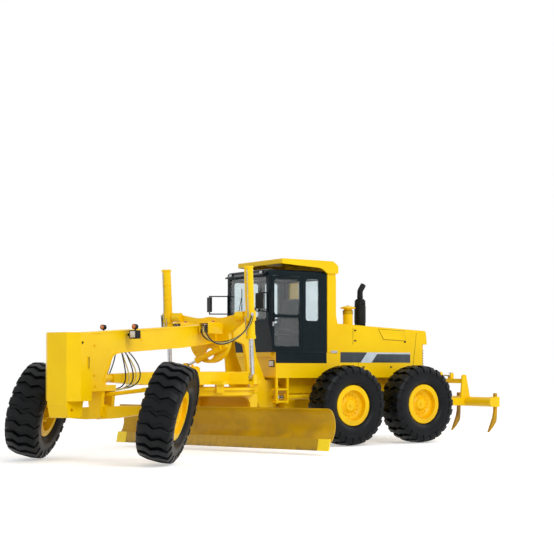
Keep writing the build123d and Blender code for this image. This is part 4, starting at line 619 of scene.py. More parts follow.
def tread_lug(depth):
    """Zigzag lug that runs right across the crown and over both shoulders."""
    lug = start("grid", x_subdivisions=1, y_subdivisions=len(LUG_LINE) - 1, size=1)
    pick(lug, lambda middle, normal: True)
    bpy.ops.transform.resize(value=(0.122, 1, 1))
    for n, (x, y, z) in enumerate(LUG_LINE):
        row = n / (len(LUG_LINE) - 1) - 0.5
        pick(lug, lambda spot, row=row: abs(spot.y - row) < 0.01 and abs(spot.z) < 0.01, "VERT")
        bpy.ops.transform.translate(value=(x, y - row, z))
    deselect()
    pick(lug, lambda middle, normal: True)
    bpy.ops.mesh.extrude_region_shrink_fatten(TRANSFORM_OT_shrink_fatten={"value": depth})
    deselect()
    outwards(lug)
    return eased(lug, 0.007, 1)


class GRADER_OT_tyres(bpy.types.Operator):
    """Six tyres with casing and tread lugs"""
    bl_idname = "grader.tyres"
    bl_label = "Tyres"

    def execute(self, context):
        sizes = context.scene.grader_sizes
        lug = tread_lug(sizes.lug_depth)
        turns = ring_of(sizes.lug_count, Matrix(), "Y")
        tyre = outwards(joined([tyre_casing()] + copied(lug, turns)))
        places = [wheel_place(axle, side) for axle, side in WHEELS]
        for piece, (axle, side) in zip(copied(tyre, places), WHEELS):
            settle(piece, f"tread_tyre_{axle}_{side}", "rubber", f"wheel_{axle}_{side}")
            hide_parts(f"tyre_{axle}_{side}")
        return {"FINISHED"}


class GRADER_OT_wheel_nuts(bpy.types.Operator):
    """Ring of nuts on each wheel's disc, with a plug in its hub"""
    bl_idname = "grader.wheel_nuts"
    bl_label = "Wheel nuts"

    def execute(self, context):
        for axle, side in WHEELS:
            face = 0.114 if axle == "front" else 0.064
            nut = hexagon(0.017, 0.02, 0.014)
            nut.data.transform(Matrix.Translation((0, face, 0)) @ Matrix.Rotation(-pi / 2, 4, "X")
                               @ Matrix.Translation((WHEEL_BOLTS, 0, 0)))
            plug = hexagon(0.03, 0.014)
            plug.data.transform(Matrix.Translation((0, face + 0.059, 0))
                                @ Matrix.Rotation(-pi / 2, 4, "X"))
            ring = joined(copied(nut, ring_of(16, Matrix(), "Y")) + [plug])
            flip = Matrix() if side == "left" else Matrix.Rotation(pi, 4, "Z")
            settle(ring, f"wheel_nuts_{axle}_{side}", "wheel_enamel", f"wheel_{axle}_{side}",
                   wheel_place(axle, side) @ flip)
        return {"FINISHED"}


# ---- hood ---------------------------------------------------------------------------------------
def side_sheet(points, side, out, lift):
    """Thin plate on the hood's side: X and Z outline, from the face at out, lift thick."""
    piece = start("plane", size=1)
    hold(piece)
    bpy.ops.object.mode_set(mode="EDIT")
    mesh = bmesh.from_edit_mesh(piece.data)
    corners = sorted(mesh.verts, key=lambda v: (v.co.y, v.co.x if v.co.y < 0 else -v.co.x))
    for vertex, (x, z) in zip(corners, points):
        vertex.co = (x, side * out, z)
    bmesh.update_edit_mesh(piece.data)
    bpy.ops.mesh.select_all(action="SELECT")
    push((0, side * lift, 0))
    bpy.ops.object.mode_set(mode="OBJECT")
    return outwards(piece)


HOOD_SIDE = 0.7             # the hood's side face, out from the middle
STRIPE = (1.65, 1.862)      # foot and top of the stripe
# each seam: X, lean, foot and top
HOOD_SEAMS = ((0.30, 0, 2.02, 2.36), (-1.30, -0.12, 1.36, 2.28), (0.16, 0, 1.40, 1.645))
HOOD_LATCHES = ((-1.10, 2.09), (0.24, 2.31), (0.24, 2.10), (-0.72, 1.56), (0.02, 1.56))


class GRADER_OT_hood_trim(bpy.types.Operator):
    """Hood's stripe, service lid, seams, latches and corner louvres"""
    bl_idname = "grader.hood_trim"
    bl_label = "Hood trim"

    def execute(self, context):
        for word, side in SIDES:
            low, high = STRIPE
            stripe = side_sheet([(0.62, low), (-1.25, low), (-1.25, high), (0.62, high)],
                                side, HOOD_SIDE, 0.002)
            settle(eased(stripe, 0.0008), f"side_stripe_{word}", "stripe_grey", "chassis", REAR)
            on_stripe = HOOD_SIDE + 0.0015
            bar = side_sheet([(0.10, low), (-0.19, low), (-0.37, high), (-0.08, high)],
                             side, on_stripe, 0.002)
            line = side_sheet([(-0.34, 1.828), (-1.25, 1.828), (-1.25, high), (-0.37, high)],
                              side, on_stripe, 0.0019)
            settle(joined([bar, line]), f"stripe_bar_{word}", "stripe_pale", "chassis", REAR)
            plate = side_sheet([(0.90, 1.84), (0.74, 1.84), (0.74, 1.89), (0.90, 1.89)],
                               side, 0.7495, 0.003)
            settle(eased(plate, 0.001), f"blank_plate_{word}", "zinc", "chassis", REAR)

            # the seams round the lid and between the panels are thin near-black sheets: painted shadow in the
            # gaps
            lid_line = [(-0.52, 2.135), (-1.12, 2.115), (-1.09, 2.315), (-0.38, 2.345)]
            spread = ((0.008, -0.008), (-0.008, -0.008), (-0.008, 0.008), (0.01, 0.008))
            seams = [side_sheet([(x + dx, z + dz) for (x, z), (dx, dz) in zip(lid_line, spread)],
                                side, HOOD_SIDE, 0.001)]
            for x, lean, low, high in HOOD_SEAMS:
                seam = [(x, low), (x - 0.008, low), (x - 0.008 + lean, high), (x + lean, high)]
                seams.append(side_sheet(seam, side, HOOD_SIDE, 0.0012))
            settle(joined(seams), f"hood_seams_{word}", "painted_seam_shadow", "chassis", REAR)
            lid = side_sheet(lid_line, side, HOOD_SIDE, 0.007)
            dished(lid, lambda middle, normal: abs(normal.y) > 0.9 and abs(middle.y) > 0.703,
                   0.02, 0.006, -0.002)
            settle(eased(lid, 0.0015), f"service_lid_{word}", "enamel", "chassis", REAR)

            latches = []
            for x, z in HOOD_LATCHES:
                catch = block((x - 0.026, 0.698 * side, z - 0.014),
                              (x + 0.026, 0.711 * side, z + 0.014))
                knob = rod((x - 0.008, 0.71 * side, z), (x - 0.008, 0.718 * side, z), 0.009, 16)
                latches += [eased(outwards(catch), 0.004), eased(knob, 0.002)]
            settle(joined(latches), f"hood_latches_{word}", "plastic", "chassis", REAR)

            louvres = []
            for n in range(9):
                z = 1.46 + 0.055 * n
                slat = block((-0.06, 0, z), (0.06, 0.012, z + 0.018))
                pick(slat, lambda middle, normal: normal.z < -0.9)
                bpy.ops.transform.translate(value=(0, 0.008, 0))
                deselect()
                louvres.append(eased(slat, 0.002, 1))
            louvre = joined(louvres)
            corner = (Matrix.Translation((-1.657, 0.633 * side, 0))
                      @ Matrix.Rotation(side * radians(45), 4, "Z"))
            if side < 0:
                corner = corner @ Matrix.Rotation(pi, 4, "Z")
            settle(louvre, f"corner_louvres_{word}", "soot_black", "chassis", REAR @ corner)
        return {"FINISHED"}


EXHAUST_X = -0.45       # middles of the stacks, ahead of the tandem's middle
INTAKE_X = -0.12


class GRADER_OT_stack_trim(bpy.types.Operator):
    """Clamps and heat shield on the exhaust, slots and nut on the intake"""
    bl_idname = "grader.stack_trim"
    bl_label = "Exhaust and intake trim"

    def execute(self, context):
        bands = []
        for z in (2.46, 2.90):
            band = start("cylinder", vertices=48, radius=0.1185, depth=0.03,
                         location=(EXHAUST_X, 0, z))
            bands.append(eased(band, 0.003))
            bands.append(eased(block((-0.46, 0.112, z - 0.012), (-0.44, 0.15, z + 0.012)), 0.003))
        ring = start("cylinder", vertices=40, radius=0.0635, depth=0.04,
                     location=(EXHAUST_X, 0, 3.05))
        bands.append(eased(ring, 0.003))
        settle(joined(bands), "exhaust_clamps", "soot_black", "chassis", REAR)

        shield = start("cylinder", vertices=48, radius=0.1225, depth=0.36,
                       location=(EXHAUST_X, 0, 2.68))
        pick(shield, lambda middle, normal: abs(normal.z) > 0.9)
        bpy.ops.mesh.inset(thickness=0.0085)
        bpy.ops.mesh.bridge_edge_loops()
        deselect()
        settle(eased(outwards(shield), 0.0015, 1), "exhaust_shield", "soot_black", "chassis", REAR)

        # the slots are thin near-black strips on the pipe's face: painted shadow, not openings
        slot = eased(block((-0.004, 0.1035, -0.045), (0.004, 0.1075, 0.045)), 0.0015, 1)
        turns = ring_of(28, Matrix.Translation((INTAKE_X, 0, 2.715)), "Z")
        settle(joined(copied(slot, turns)), "intake_slots", "painted_seam_shadow", "chassis", REAR)
        settle(hexagon(0.02, 0.016), "intake_nut", "zinc", "chassis",
               REAR @ Matrix.Translation((INTAKE_X, 0, 2.848)))
        return {"FINISHED"}


# ---- cab ----------------------------------------------------------------------------------------
def wiper(foot, tip):
    """Wiper arm with its blade, on the windscreen's outside."""
    foot, tip = Vector(foot), Vector(tip)
    arm = rod(foot, tip, 0.007, 8)
    pivot = eased(rod(foot - Vector((0.012, 0, 0)), foot + Vector((0.018, 0, 0)), 0.018, 16), 0.004)
    blade = eased(block(tip + Vector((-0.014, -0.008, -0.3)), tip + Vector((-0.002, 0.008, 0.18))), 0.003)
    return joined([arm, pivot, blade])


class GRADER_OT_cab_trim(bpy.types.Operator):
    """Wipers, grab rails, door locks, cab skirts, mirror glasses, marker and step lamps"""
    bl_idname = "grader.cab_trim"
    bl_label = "Cab trim"

    def execute(self, context):
        wipers = [wiper((2.432, 0.25, 2.53), (2.434, 0.40, 2.95)),
                  wiper((2.432, -0.35, 2.53), (2.434, -0.2, 2.95))]
        settle(joined(wipers), "windscreen_wipers", "plastic", "chassis", REAR)
        for word, side in SIDES:
            near, far = side * 0.735, side * 0.797
            route = ((near, 2.34), (far, 2.34), (far, 2.44), (far, 2.95), (far, 3.05), (near, 3.05))
            rail = pipe([(2.38, y, z) for y, z in route], 0.012, 3)
            settle(rail, f"grab_rail_{word}", "soot_black", "chassis", REAR)
            lock = eased(side_block(side, (2.292, 2.33), (0.738, 0.752), (2.36, 2.44)), 0.005)
            button = rod((2.311, side * 0.75, 2.40), (2.311, side * 0.762, 2.40), 0.011, 16)
            settle(joined([outwards(lock), eased(button, 0.002)]), f"door_lock_{word}", "zinc",
                   f"cab_door_{word}", REAR)

        skirts, glasses = [], []
        for word, side in SIDES:
            skirt = side_block(side, (1.002, 2.247), (0.735, 0.744), (1.635, 1.862))
            dished(skirt, lambda middle, normal, side=side: normal.y * side > 0.9,
                   0.03, 0.004, -0.003)
            skirts.append(eased(skirt, 0.003))
            glass = block((-0.026, -0.078, -0.135), (-0.019, 0.078, 0.135))
            dished(glass, lambda middle, normal: normal.x < -0.9, 0.006, 0.002, -0.002)
            glass.data.transform(Matrix.Translation((2.75, side * 0.91, 2.83))
                                 @ Matrix.Rotation(side * radians(10), 4, "Z"))
            glasses.append(eased(glass, 0.002))
        settle(joined(skirts), "cab_skirts", "dark_enamel", "chassis", REAR)
        settle(joined(glasses), "mirror_glasses", "chrome", "chassis", REAR)

        lamps, lenses = [], []
        for y in (-0.55, 0.55):
            body = eased(block((2.43, y - 0.055, 3.38), (2.475, y + 0.055, 3.45)), 0.008)
            lamps.append(dished(body, forward, 0.008, 0.003, -0.006))
            lenses.append(eased(block((2.468, y - 0.043, 3.392), (2.478, y + 0.043, 3.438)), 0.003))
        settle(joined(lamps), "marker_lamp_housings", "soot_black", "chassis", REAR)
        settle(joined(lenses), "marker_lamp_lenses", "clear_lens", "chassis", REAR)

        body = eased(block((2.20, 0.52, 1.56), (2.27, 0.70, 1.69)), 0.012)
        dished(body, forward, 0.012, 0.004, -0.008)
        settle(body, "step_lamp_housing", "soot_black", "chassis", REAR)
        lens = eased(block((2.262, 0.535, 1.575), (2.274, 0.685, 1.675)), 0.004)
        settle(lens, "step_lamp_lens", "clear_lens", "chassis", REAR)
        return {"FINISHED"}


# each cushion: name, low and high corner, tilt
CUSHIONS = (
    ("seat_base_cushion", (1.39, -0.25, 2.215), (1.86, 0.25, 2.32), 0.0),
    ("seat_back_cushion", (1.305, -0.24, 2.30), (1.42, 0.24, 2.94), radians(-8)),
)


class GRADER_OT_seat(bpy.types.Operator):
    """Suspension seat: pedestal, bellows, crowned base and back cushions, armrests"""
    bl_idname = "grader.seat"
    bl_label = "Operator's seat"

    def execute(self, context):
        for name, low, high, tilt in CUSHIONS:
            middle = (Vector(low) + Vector(high)) / 2
            pad = block(low, high)
            pick(pad, lambda spot, normal: True)
            bpy.ops.mesh.subdivide(number_cuts=5)
            deselect()
            axis = "z" if name == "seat_base_cushion" else "x"
            pick(pad, lambda spot, normal, axis=axis: getattr(normal, axis) > 0.9)
            inset(0.02, 0.0)
            bpy.ops.transform.resize(value=(0.97, 0.97, 0.97))
            bpy.ops.transform.translate(value=(0, 0, 0.012) if axis == "z" else (0.012, 0, 0))
            deselect()
            modified(pad, "SUBSURF", levels=1, render_levels=1)
            pad.data.transform(Matrix.Translation(middle) @ Matrix.Rotation(tilt, 4, "Y")
                               @ Matrix.Translation(-middle))
            settle(pad, name, "cloth", "chassis", REAR)
        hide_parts("operator_seat")
        parts = []
        base = block((1.48, -0.15, 1.90), (1.76, 0.15, 2.0))
        parts.append(eased(base, 0.012))
        for n in range(5):
            fold = start("cylinder", vertices=4, radius=0.19, depth=0.044,
                         rotation=(0, 0, pi / 4), location=(1.62, 0, 2.02 + 0.04 * n))
            parts.append(eased(fold, 0.014))
        for side in (1, -1):
            rest = block((1.42, side * 0.29 - 0.03, 2.50), (1.74, side * 0.29 + 0.03, 2.55))
            stay = block((1.37, side * 0.27 - 0.012, 2.30), (1.44, side * 0.27 + 0.012, 2.53))
            parts += [eased(rest, 0.012), eased(stay, 0.005)]
        settle(joined(parts), "seat_pedestal", "plastic", "chassis", REAR)
        return {"FINISHED"}


# ---- gooseneck and lamps ------------------------------------------------------------------------
class GRADER_OT_head_lamps(bpy.types.Operator):
    """Square head lamps with bezels, and round amber turn lamps over them"""
    bl_idname = "grader.head_lamps"
    bl_label = "Head lamps"

    def execute(self, context):
        bezels, lenses, turns = [], [], []
        for side in (1, -1):
            y = side * 0.325
            bezel = block((5.118, y - 0.068, 2.022), (5.134, y + 0.068, 2.158))
            bezels.append(eased(dished(bezel, forward, 0.012, 0.003, -0.01), 0.004))
            lens = eased(block((5.121, y - 0.053, 2.037), (5.130, y + 0.053, 2.143)), 0.008)
            lenses.append(lens)
            collar = start("cylinder", vertices=32, radius=0.0445, depth=0.02,
                           rotation=(0, pi / 2, 0), location=(5.083, y, 2.22))
            bezels.append(eased(collar, 0.003))
            dome = start("uv_sphere", segments=28, ring_count=14, radius=0.038,
                         location=(5.086, y, 2.22))
            pick(dome, lambda middle, normal: middle.x < 5.086)
            bpy.ops.mesh.delete(type="FACE")
            bpy.ops.mesh.select_all(action="SELECT")
            bpy.ops.transform.resize(value=(0.5, 1, 1), center_override=(5.086, y, 2.22))
            bpy.ops.mesh.select_mode(type="EDGE")
            bpy.ops.mesh.select_all(action="DESELECT")
            bpy.ops.mesh.select_non_manifold()
            bpy.ops.mesh.edge_face_add()
            deselect()
            turns.append(outwards(dome))
        settle(joined(bezels), "lamp_bezels", "soot_black", "front", FRONT)
        settle(joined(lenses), "head_lamp_lenses", "clear_lens", "front", FRONT)
        settle(joined(turns), "turn_lamp_lenses", "amber_lens", "front", FRONT)
        return {"FINISHED"}


class GRADER_OT_block_trim(bpy.types.Operator):
    """Counterweight's bushings and lifting slot; bolts on the nose"""
    bl_idname = "grader.block_trim"
    bl_label = "Counterweight trim"

    def execute(self, context):
        rims, darks = [], []
        for side in (1, -1):
            y = side * 0.345

            def outer(middle, normal, side=side):
                return normal.y * side > 0.9

            bush = start("cylinder", vertices=32, radius=0.032, depth=0.02,
                         rotation=(pi / 2, 0, 0), location=(6.47, y, 1.93))
            rims.append(eased(dished(bush, outer, 0.008, 0.002, -0.008), 0.0015, 1))
            # a near-black disc in each bore and a near-black sheet in each slot: painted shadow in the
            # recesses
            darks.append(rod((6.47, y, 1.93), (6.47, y + side * 0.0045, 1.93), 0.022, 24))
            slot = side_block(side, (6.29, 6.34), (0.345, 0.357), (1.52, 1.72))
            rims.append(eased(dished(slot, outer, 0.011, 0.002, -0.007), 0.003))
            dark = side_block(side, (6.302, 6.328), (0.345, 0.352), (1.532, 1.708))
            darks.append(eased(dark, 0.002))
        settle(joined(rims), "counterweight_bushings", "enamel", "front", FRONT)
        settle(joined([outwards(dark) for dark in darks]), "counterweight_recesses", "painted_seam_shadow",
               "front", FRONT)

        places = []
        for side in (1, -1):
            for y, z in ((0.174, 1.25), (0.162, 1.42), (0.162, 1.9)):
                places.append(Matrix.Translation((5.93, side * y, z))
                              @ Matrix.Rotation(-side * pi / 2, 4, "X"))
        settle(joined(copied(hexagon(0.02, 0.016), places)), "nose_bolts", "enamel", "front", FRONT)
        return {"FINISHED"}


class GRADER_OT_valve_bank(bpy.types.Operator):
    """Valve banks ahead of the lifter ring, with covers, spools and caps"""
    bl_idname = "grader.valve_bank"
    bl_label = "Valve bank"

    def execute(self, context):
        shell, spools, caps = [], [], []
        for side in (1, -1):
            y0, y1 = sorted((side * 0.19, side * 0.40))
            cover = block((2.42, y0, 2.16), (2.92, y1, 2.36))
            pick(cover, forward)
            inset(0.014)
            push((-0.16, 0, 0))
            deselect()
            shell.append(eased(outwards(cover), 0.006))
            for n in range(4):
                z = 2.195 + 0.043 * n
                spool = eased(rod((2.755, side * 0.295, z), (2.885, side * 0.295, z), 0.017, 16), 0.003)
                spools.append(spool)
                for y in (side * 0.35, side * 0.24):
                    spools.append(eased(rod((2.755, y, z), (2.87, y, z), 0.010, 12), 0.002))
            lid = block((2.46, y0 + 0.03, 2.355), (2.88, y1 - 0.03, 2.375))
            shell.append(eased(lid, 0.006))
            knob = eased(rod((2.60, side * 0.30, 2.37), (2.60, side * 0.30, 2.40), 0.028, 20), 0.006)
            caps.append(knob)
        settle(joined(shell), "valve_covers", "enamel", "front", FRONT)
        settle(joined(spools), "valve_spools", "zinc", "front", FRONT)
        settle(joined(caps), "filler_caps", "red_lens", "front", FRONT)

        plates = []
        for side in (1, -1):
            for x in (3.02, 4.62):
                z = 2.18 if x < 4 else 2.06
                plate = side_block(side, (x, x + 0.05), (0.163, 0.171), (z - 0.07, z + 0.07))
                plates.append(eased(plate, 0.003))
        settle(joined(plates), "beam_straps", "enamel", "front", FRONT)
        return {"FINISHED"}


# ---- hoses and pipes held at both ends ----------------------------------------------------------
# routes in the front frame: behind the nose down to the axle's cylinders
NOSE_HOSES = (
    ((5.12, 0.10, 1.80), (5.12, 0.15, 1.62), (5.14, 0.21, 1.42),
     (5.20, 0.22, 1.24), (5.34, 0.17, 1.19), (5.44, 0.12, 1.19)),
    ((5.08, 0.07, 1.80), (5.05, 0.13, 1.62), (5.06, 0.23, 1.42),
     (5.15, 0.25, 1.22), (5.32, 0.20, 1.17), (5.44, 0.14, 1.17)),
    ((5.04, 0.12, 1.80), (4.98, 0.17, 1.64), (4.97, 0.25, 1.44),
     (5.08, 0.28, 1.24), (5.30, 0.22, 1.18), (5.44, 0.09, 1.17)),
    ((5.00, 0.08, 1.80), (4.92, 0.15, 1.66), (4.89, 0.26, 1.46),
     (5.00, 0.30, 1.26), (5.26, 0.25, 1.17), (5.44, 0.13, 1.20)),
    ((4.96, 0.13, 1.80), (4.85, 0.19, 1.68), (4.81, 0.28, 1.48),
     (4.94, 0.33, 1.27), (5.22, 0.27, 1.18), (5.44, 0.10, 1.19)),
    ((5.10, -0.10, 1.80), (5.08, -0.15, 1.62), (5.10, -0.22, 1.42),
     (5.18, -0.23, 1.24), (5.34, -0.17, 1.19), (5.44, -0.12, 1.19)),
    ((5.04, -0.08, 1.80), (4.99, -0.15, 1.64), (4.99, -0.25, 1.44),
     (5.10, -0.27, 1.23), (5.31, -0.21, 1.17), (5.44, -0.13, 1.17)),
)


class GRADER_OT_hoses(bpy.types.Operator):
    """Hoses behind the nose and from the valve bank to the lift cylinders, with their unions"""
    bl_idname = "grader.hoses"
    bl_label = "Hoses"

    def execute(self, context):
        hoses, pale, unions = [], [], []
        for n, route in enumerate(NOSE_HOSES):
            (pale if n % 2 else hoses).append(pipe(route, 0.011))
            for end, near in ((route[0], route[1]), (route[-1], route[-2])):
                away = (Vector(near) - Vector(end)).normalized()
                union = rod(Vector(end) - away * 0.01, Vector(end) + away * 0.045, 0.0155, 6)
                unions.append(eased(union, 0.002, 1))
        for side in (1, -1):
            for n in range(3):
                y = side * (0.255 + 0.04 * n)
                top = 2.235 + 0.04 * n
                x = 2.88
                route = ((x, y, top), (x + 0.10, y, top - 0.01),
                         (x + 0.16, y + side * 0.12, top - 0.20 - 0.03 * n),
                         (x - 0.02, side * 0.62, 1.98 - 0.03 * n),
                         (x - 0.30, side * (0.80 + 0.02 * n), 2.06),
                         (2.33 + 0.03 * n, side * (0.985 - 0.01 * n), 2.32),
                         (2.34 + 0.02 * n, side * 0.99, 2.52))
                (pale if n == 1 else hoses).append(pipe(route, 0.012))
                for end, back, ahead in ((route[0], (0.03, 0, 0), (0.03, 0, 0)),
                                         (route[-1], (0, 0, 0.04), (0, 0, 0.02))):
                    union = rod(Vector(end) - Vector(back), Vector(end) + Vector(ahead), 0.017, 6)
                    unions.append(eased(union, 0.002, 1))
        settle(joined(hoses), "hydraulic_hoses", "hose_rubber", "front", FRONT)
        settle(joined(pale), "hydraulic_hoses_pale", "hose_yellow", "front", FRONT)
        settle(joined(unions), "hose_unions", "zinc", "front", FRONT)
        return {"FINISHED"}


LIFT_TRUNNION = Vector((2.288, 0, 2.49))
LIFT_EYE = Vector((2.211, 0, 1.37))
LIFT_SIDE = 0.9         # lift cylinders, out from the middle


class GRADER_OT_lift_trim(bpy.types.Operator):
    """Steel lines, clamps and gland bolts on the lift barrels"""
    bl_idname = "grader.lift_trim"
    bl_label = "Lift cylinder trim"

    def execute(self, context):
        lean = (LIFT_EYE - LIFT_TRUNNION).normalized()
        lines, clamps = [], []
        for side in (1, -1):
            middle = LIFT_TRUNNION + Vector((0, side * LIFT_SIDE, 0))
            off = Vector((0.094, side * 0.02, 0))
            top = middle - lean * 0.84 + off
            lines.append(pipe([top - off * 0.4, top, top + lean * 0.1, middle - lean * 0.1 + off * 1.12,
                               middle + lean * 0.05 + off * 1.3], 0.008, 3))
            low = Vector((0.094, side * -0.03, 0))
            lines.append(pipe([middle + lean * 0.36 + low * 0.4, middle + lean * 0.36 + low,
                               middle + lean * 0.3 + low * 1.1, middle + lean * 0.02 + low * 1.34],
                              0.008, 3))
            for along in (-0.62, -0.36):
                ring = start("cylinder", vertices=40, radius=0.0865, depth=0.022)
                pick(ring, lambda middle, normal: abs(normal.z) > 0.9)
                inset(0.012)
                bpy.ops.mesh.bridge_edge_loops()
                deselect()
                outwards(ring)
                ring.data.transform(placed(middle + lean * along, (0, 1, 0), -lean))
                clamps.append(eased(ring, 0.003))
                lug = eased(block((0.078, -0.014, -0.011), (0.112, 0.03, 0.011)), 0.003)
                lug.data.transform(placed(middle + lean * along, (0, 1, 0), -lean))
                clamps.append(lug)
            gland = placed(middle - lean * 0.9, (0, 1, 0), -lean)
            spots = ring_of(8, gland, "Z", Matrix.Translation((0.066, 0, 0)))
            clamps += copied(hexagon(0.011, 0.01), spots)
        settle(joined(lines), "lift_lines", "zinc", "front", FRONT)
        settle(joined(clamps), "lift_clamps", "enamel", "front", FRONT)
        return {"FINISHED"}


# ---- bolts --------------------------------------------------------------------------------------
class GRADER_OT_blade_bolts(bpy.types.Operator):
    """Square-necked plough bolts in two rows along the cutting edge, and the end bits' own"""
    bl_idname = "grader.blade_bolts"
    bl_label = "Blade bolts"

    def execute(self, context):
        head = start("cylinder", vertices=16, radius=0.017, depth=0.006, location=(0, 0, 0.001))
        dished(head, lambda middle, normal: normal.z > 0.9, 0.006, 0.001, -0.003)
        # foot and top of the edge strip's face, which leans back
        foot, top = Vector((0.054, 0, 0.09)), Vector((0.002, 0, 0.295))
        rise = (top - foot).normalized()
        outward = Vector((rise.z, 0, -rise.x))
        places = []
        for n in range(33):
            y = -2.40 + 0.15 * n
            bit = 0.008 if abs(y) > BIT_START else 0.0
            for share in (0.42, 0.80):
                spot = foot + (top - foot) * share + outward * bit
                places.append(placed(Vector((0, y, 0)) + spot, (0, 1, 0), outward))
        settle(joined(copied(head, places)), "edge_bolts", "shaded_edge_enamel", "moldboard", BLADE)

        nuts = []
        for side in (1, -1):
            for y in (1.3, 1.65, 2.0):
                for z in (0.355, 0.665):
                    nuts.append(Matrix.Translation((-0.25, side * y, z))
                                @ Matrix.Rotation(-pi / 2, 4, "Y"))
        settle(joined(copied(hexagon(0.016, 0.014, 0.008), nuts)), "rail_bolts", "blade_enamel_painted_shade",
               "moldboard", BLADE)
        return {"FINISHED"}


CIRCLE_DRIVE = (2.829, 0, 1.558)        # middle of the circle drive's top face


class GRADER_OT_frame_bolts(bpy.types.Operator):
    """Bolt rings on the lifter ring and the circle's drive, and bolts on the tandem cases' covers"""
    bl_idname = "grader.frame_bolts"
    bl_label = "Frame bolts"

    def execute(self, context):
        ring = [Matrix.Translation((2.26, 0, 2.06)) @ Matrix.Rotation(radians(turn), 4, "X")
                @ Matrix.Translation((0, 0, 0.375)) @ Matrix.Rotation(pi / 2, 4, "Y")
                for turn in range(18, 378, 36) if abs(cos(radians(turn))) < 0.97]
        settle(joined(copied(hexagon(0.018, 0.014), ring)), "ring_bolts", "enamel", "front", FRONT)
        middle = Matrix.Translation(CIRCLE_DRIVE)
        drive = ring_of(10, middle, "Z", Matrix.Translation((0.085, 0, 0)))
        top = hexagon(0.03, 0.03, 0.02)
        top.data.transform(middle)
        settle(joined(copied(hexagon(0.012, 0.012), drive) + [top]), "drive_bolts", "enamel",
               "drawbar", FRONT)
        cover = []
        for side in (1, -1):
            for x in (-0.62, -0.31, 0.0, 0.31, 0.62):
                for z in (0.64, 0.96):
                    cover.append(Matrix.Translation((x, side * 0.97, z))
                                 @ Matrix.Rotation(-side * pi / 2, 4, "X"))
        settle(joined(copied(hexagon(0.014, 0.012), cover)), "tandem_bolts", "enamel", "chassis",
               REAR)
        return {"FINISHED"}


# ---- stage --------------------------------------------------------------------------------------
CAMERA_SPOT = (15.97, 20.50, 1.53)      # from the middle of the tandem, in metres
CAMERA_HEADING = -124.87
CAMERA_FOCAL = 1230 / 554               # focal length over the picture's width
CAMERA_SHIFT = (-0.0014, 0.165)
SENSOR = 36.0
FLOOR_GLOW = 0.42
WORLD_LIGHT = 0.62


def shadow_white(name, colour):
    """Matt floor paint: near white where it is seen, and it keeps the soft shadows."""
    finish, tree, surface, spot = new_finish(name)
    trowel = patches(tree, spot, 700, 0.3, 0.7)
    tree.links.new(blend(tree, trowel, linear(colour), linear("F6F6F6")), surface.inputs["Base Color"])
    surface.inputs["Roughness"].default_value = 0.9
    glow = add_node(tree, "Emission", {"Color": (1, 1, 1, 1),
                                       "Strength": product(tree, seen(tree), FLOOR_GLOW)})
    both = add_node(tree, "AddShader", {0: surface.outputs[0], 1: glow.outputs[0]})
    output = next(node for node in tree.nodes if node.type == "OUTPUT_MATERIAL")
    tree.links.new(both.outputs[0], output.inputs["Surface"])
    return finish


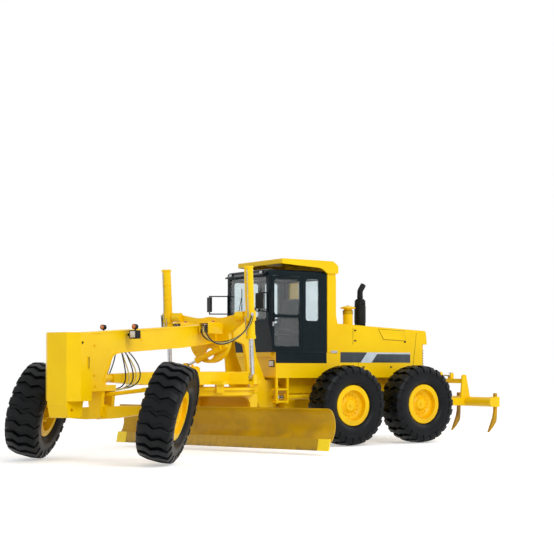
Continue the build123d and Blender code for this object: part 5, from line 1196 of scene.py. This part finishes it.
class GRADER_OT_stage(bpy.types.Operator):
    """Floor, lamps, world and camera"""
    bl_idname = "grader.stage"
    bl_label = "Set the stage"

    def execute(self, context):
        scene = context.scene
        start("plane", size=160, location=(0, 0, -0.002))
        floor = bpy.context.object
        floor.name = "studio_floor"
        floor.data.materials.append(shadow_white("floor_paint", "F4F4F4"))

        world = bpy.data.worlds.new("studio_light")
        scene.world = world
        world.use_nodes = True
        tree = world.node_tree
        tree.nodes.clear()
        soft, white = (add_node(tree, "Background", {"Color": (1, 1, 1, 1), "Strength": strength})
                       for strength in (WORLD_LIGHT, 1.0))
        shown = add_node(tree, "MixShader", {0: seen(tree), 1: soft.outputs[0], 2: white.outputs[0]})
        add_node(tree, "OutputWorld", {"Surface": shown.outputs[0]})

        # places and sizes in metres from the tandem's middle, strengths in watts
        lamps = (("key", (3, 18, 13), 9, 1650), ("fill", (20, -2, 8), 10, 240), ("rear", (-12, 6, 9), 8, 350))
        for name, spot, size, power in lamps:
            data = bpy.data.lights.new(name, "AREA")
            data.size = size
            data.energy = power
            lamp = bpy.data.objects.new(name, data)
            scene.collection.objects.link(lamp)
            lamp.location = REAR @ Vector(spot)
            aim = REAR @ Vector((2.5, 0.5, 1.5)) - lamp.location
            lamp.rotation_euler = aim.to_track_quat("-Z", "Y").to_euler()

        camera = bpy.data.objects.new("camera", bpy.data.cameras.new("camera"))
        scene.collection.objects.link(camera)
        camera.location = REAR @ Vector(CAMERA_SPOT)
        camera.rotation_euler = (radians(90), 0, radians(CAMERA_HEADING - 90))
        camera.data.sensor_width = SENSOR
        camera.data.lens = CAMERA_FOCAL * SENSOR
        camera.data.shift_x, camera.data.shift_y = CAMERA_SHIFT
        camera.data.clip_end = 400
        scene.camera = camera
        scene.view_settings.view_transform = "Standard"
        return {"FINISHED"}


CLASSES = (
    GraderPaint, GraderSizes, GRADER_OT_paint, GRADER_OT_tyres, GRADER_OT_wheel_nuts,
    GRADER_OT_hood_trim, GRADER_OT_stack_trim, GRADER_OT_cab_trim, GRADER_OT_seat,
    GRADER_OT_head_lamps, GRADER_OT_block_trim, GRADER_OT_valve_bank, GRADER_OT_hoses,
    GRADER_OT_lift_trim, GRADER_OT_blade_bolts, GRADER_OT_frame_bolts, GRADER_OT_stage,
)
STEPS = (
    "paint", "tyres", "wheel_nuts", "hood_trim", "stack_trim", "cab_trim", "seat", "head_lamps",
    "block_trim", "valve_bank", "hoses", "lift_trim", "blade_bolts", "frame_bolts", "stage",
)


class GRADER_PT_panel(bpy.types.Panel):
    """Sizes, colours and steps of the grader"""
    bl_idname = "GRADER_PT_panel"
    bl_label = "Motor grader"
    bl_space_type = "VIEW_3D"
    bl_region_type = "UI"
    bl_category = "Grader"

    def draw(self, context):
        scene = context.scene
        self.layout.prop(scene.grader_paint, "yellow")
        self.layout.prop(scene.grader_sizes, "lug_depth")
        self.layout.prop(scene.grader_sizes, "lug_count")
        for step in STEPS:
            self.layout.operator("grader." + step)


def register():
    """Adds the classes and the scene's settings."""
    for item in CLASSES + (GRADER_PT_panel,):
        bpy.utils.register_class(item)
    bpy.types.Scene.grader_paint = bpy.props.PointerProperty(type=GraderPaint)
    bpy.types.Scene.grader_sizes = bpy.props.PointerProperty(type=GraderSizes)


def unregister():
    """Takes them away again."""
    del bpy.types.Scene.grader_paint
    del bpy.types.Scene.grader_sizes
    for item in reversed(CLASSES + (GRADER_PT_panel,)):
        bpy.utils.unregister_class(item)


def main():
    register()
    for step in STEPS:
        getattr(bpy.ops.grader, step)()


if __name__ == "__main__":
    main()
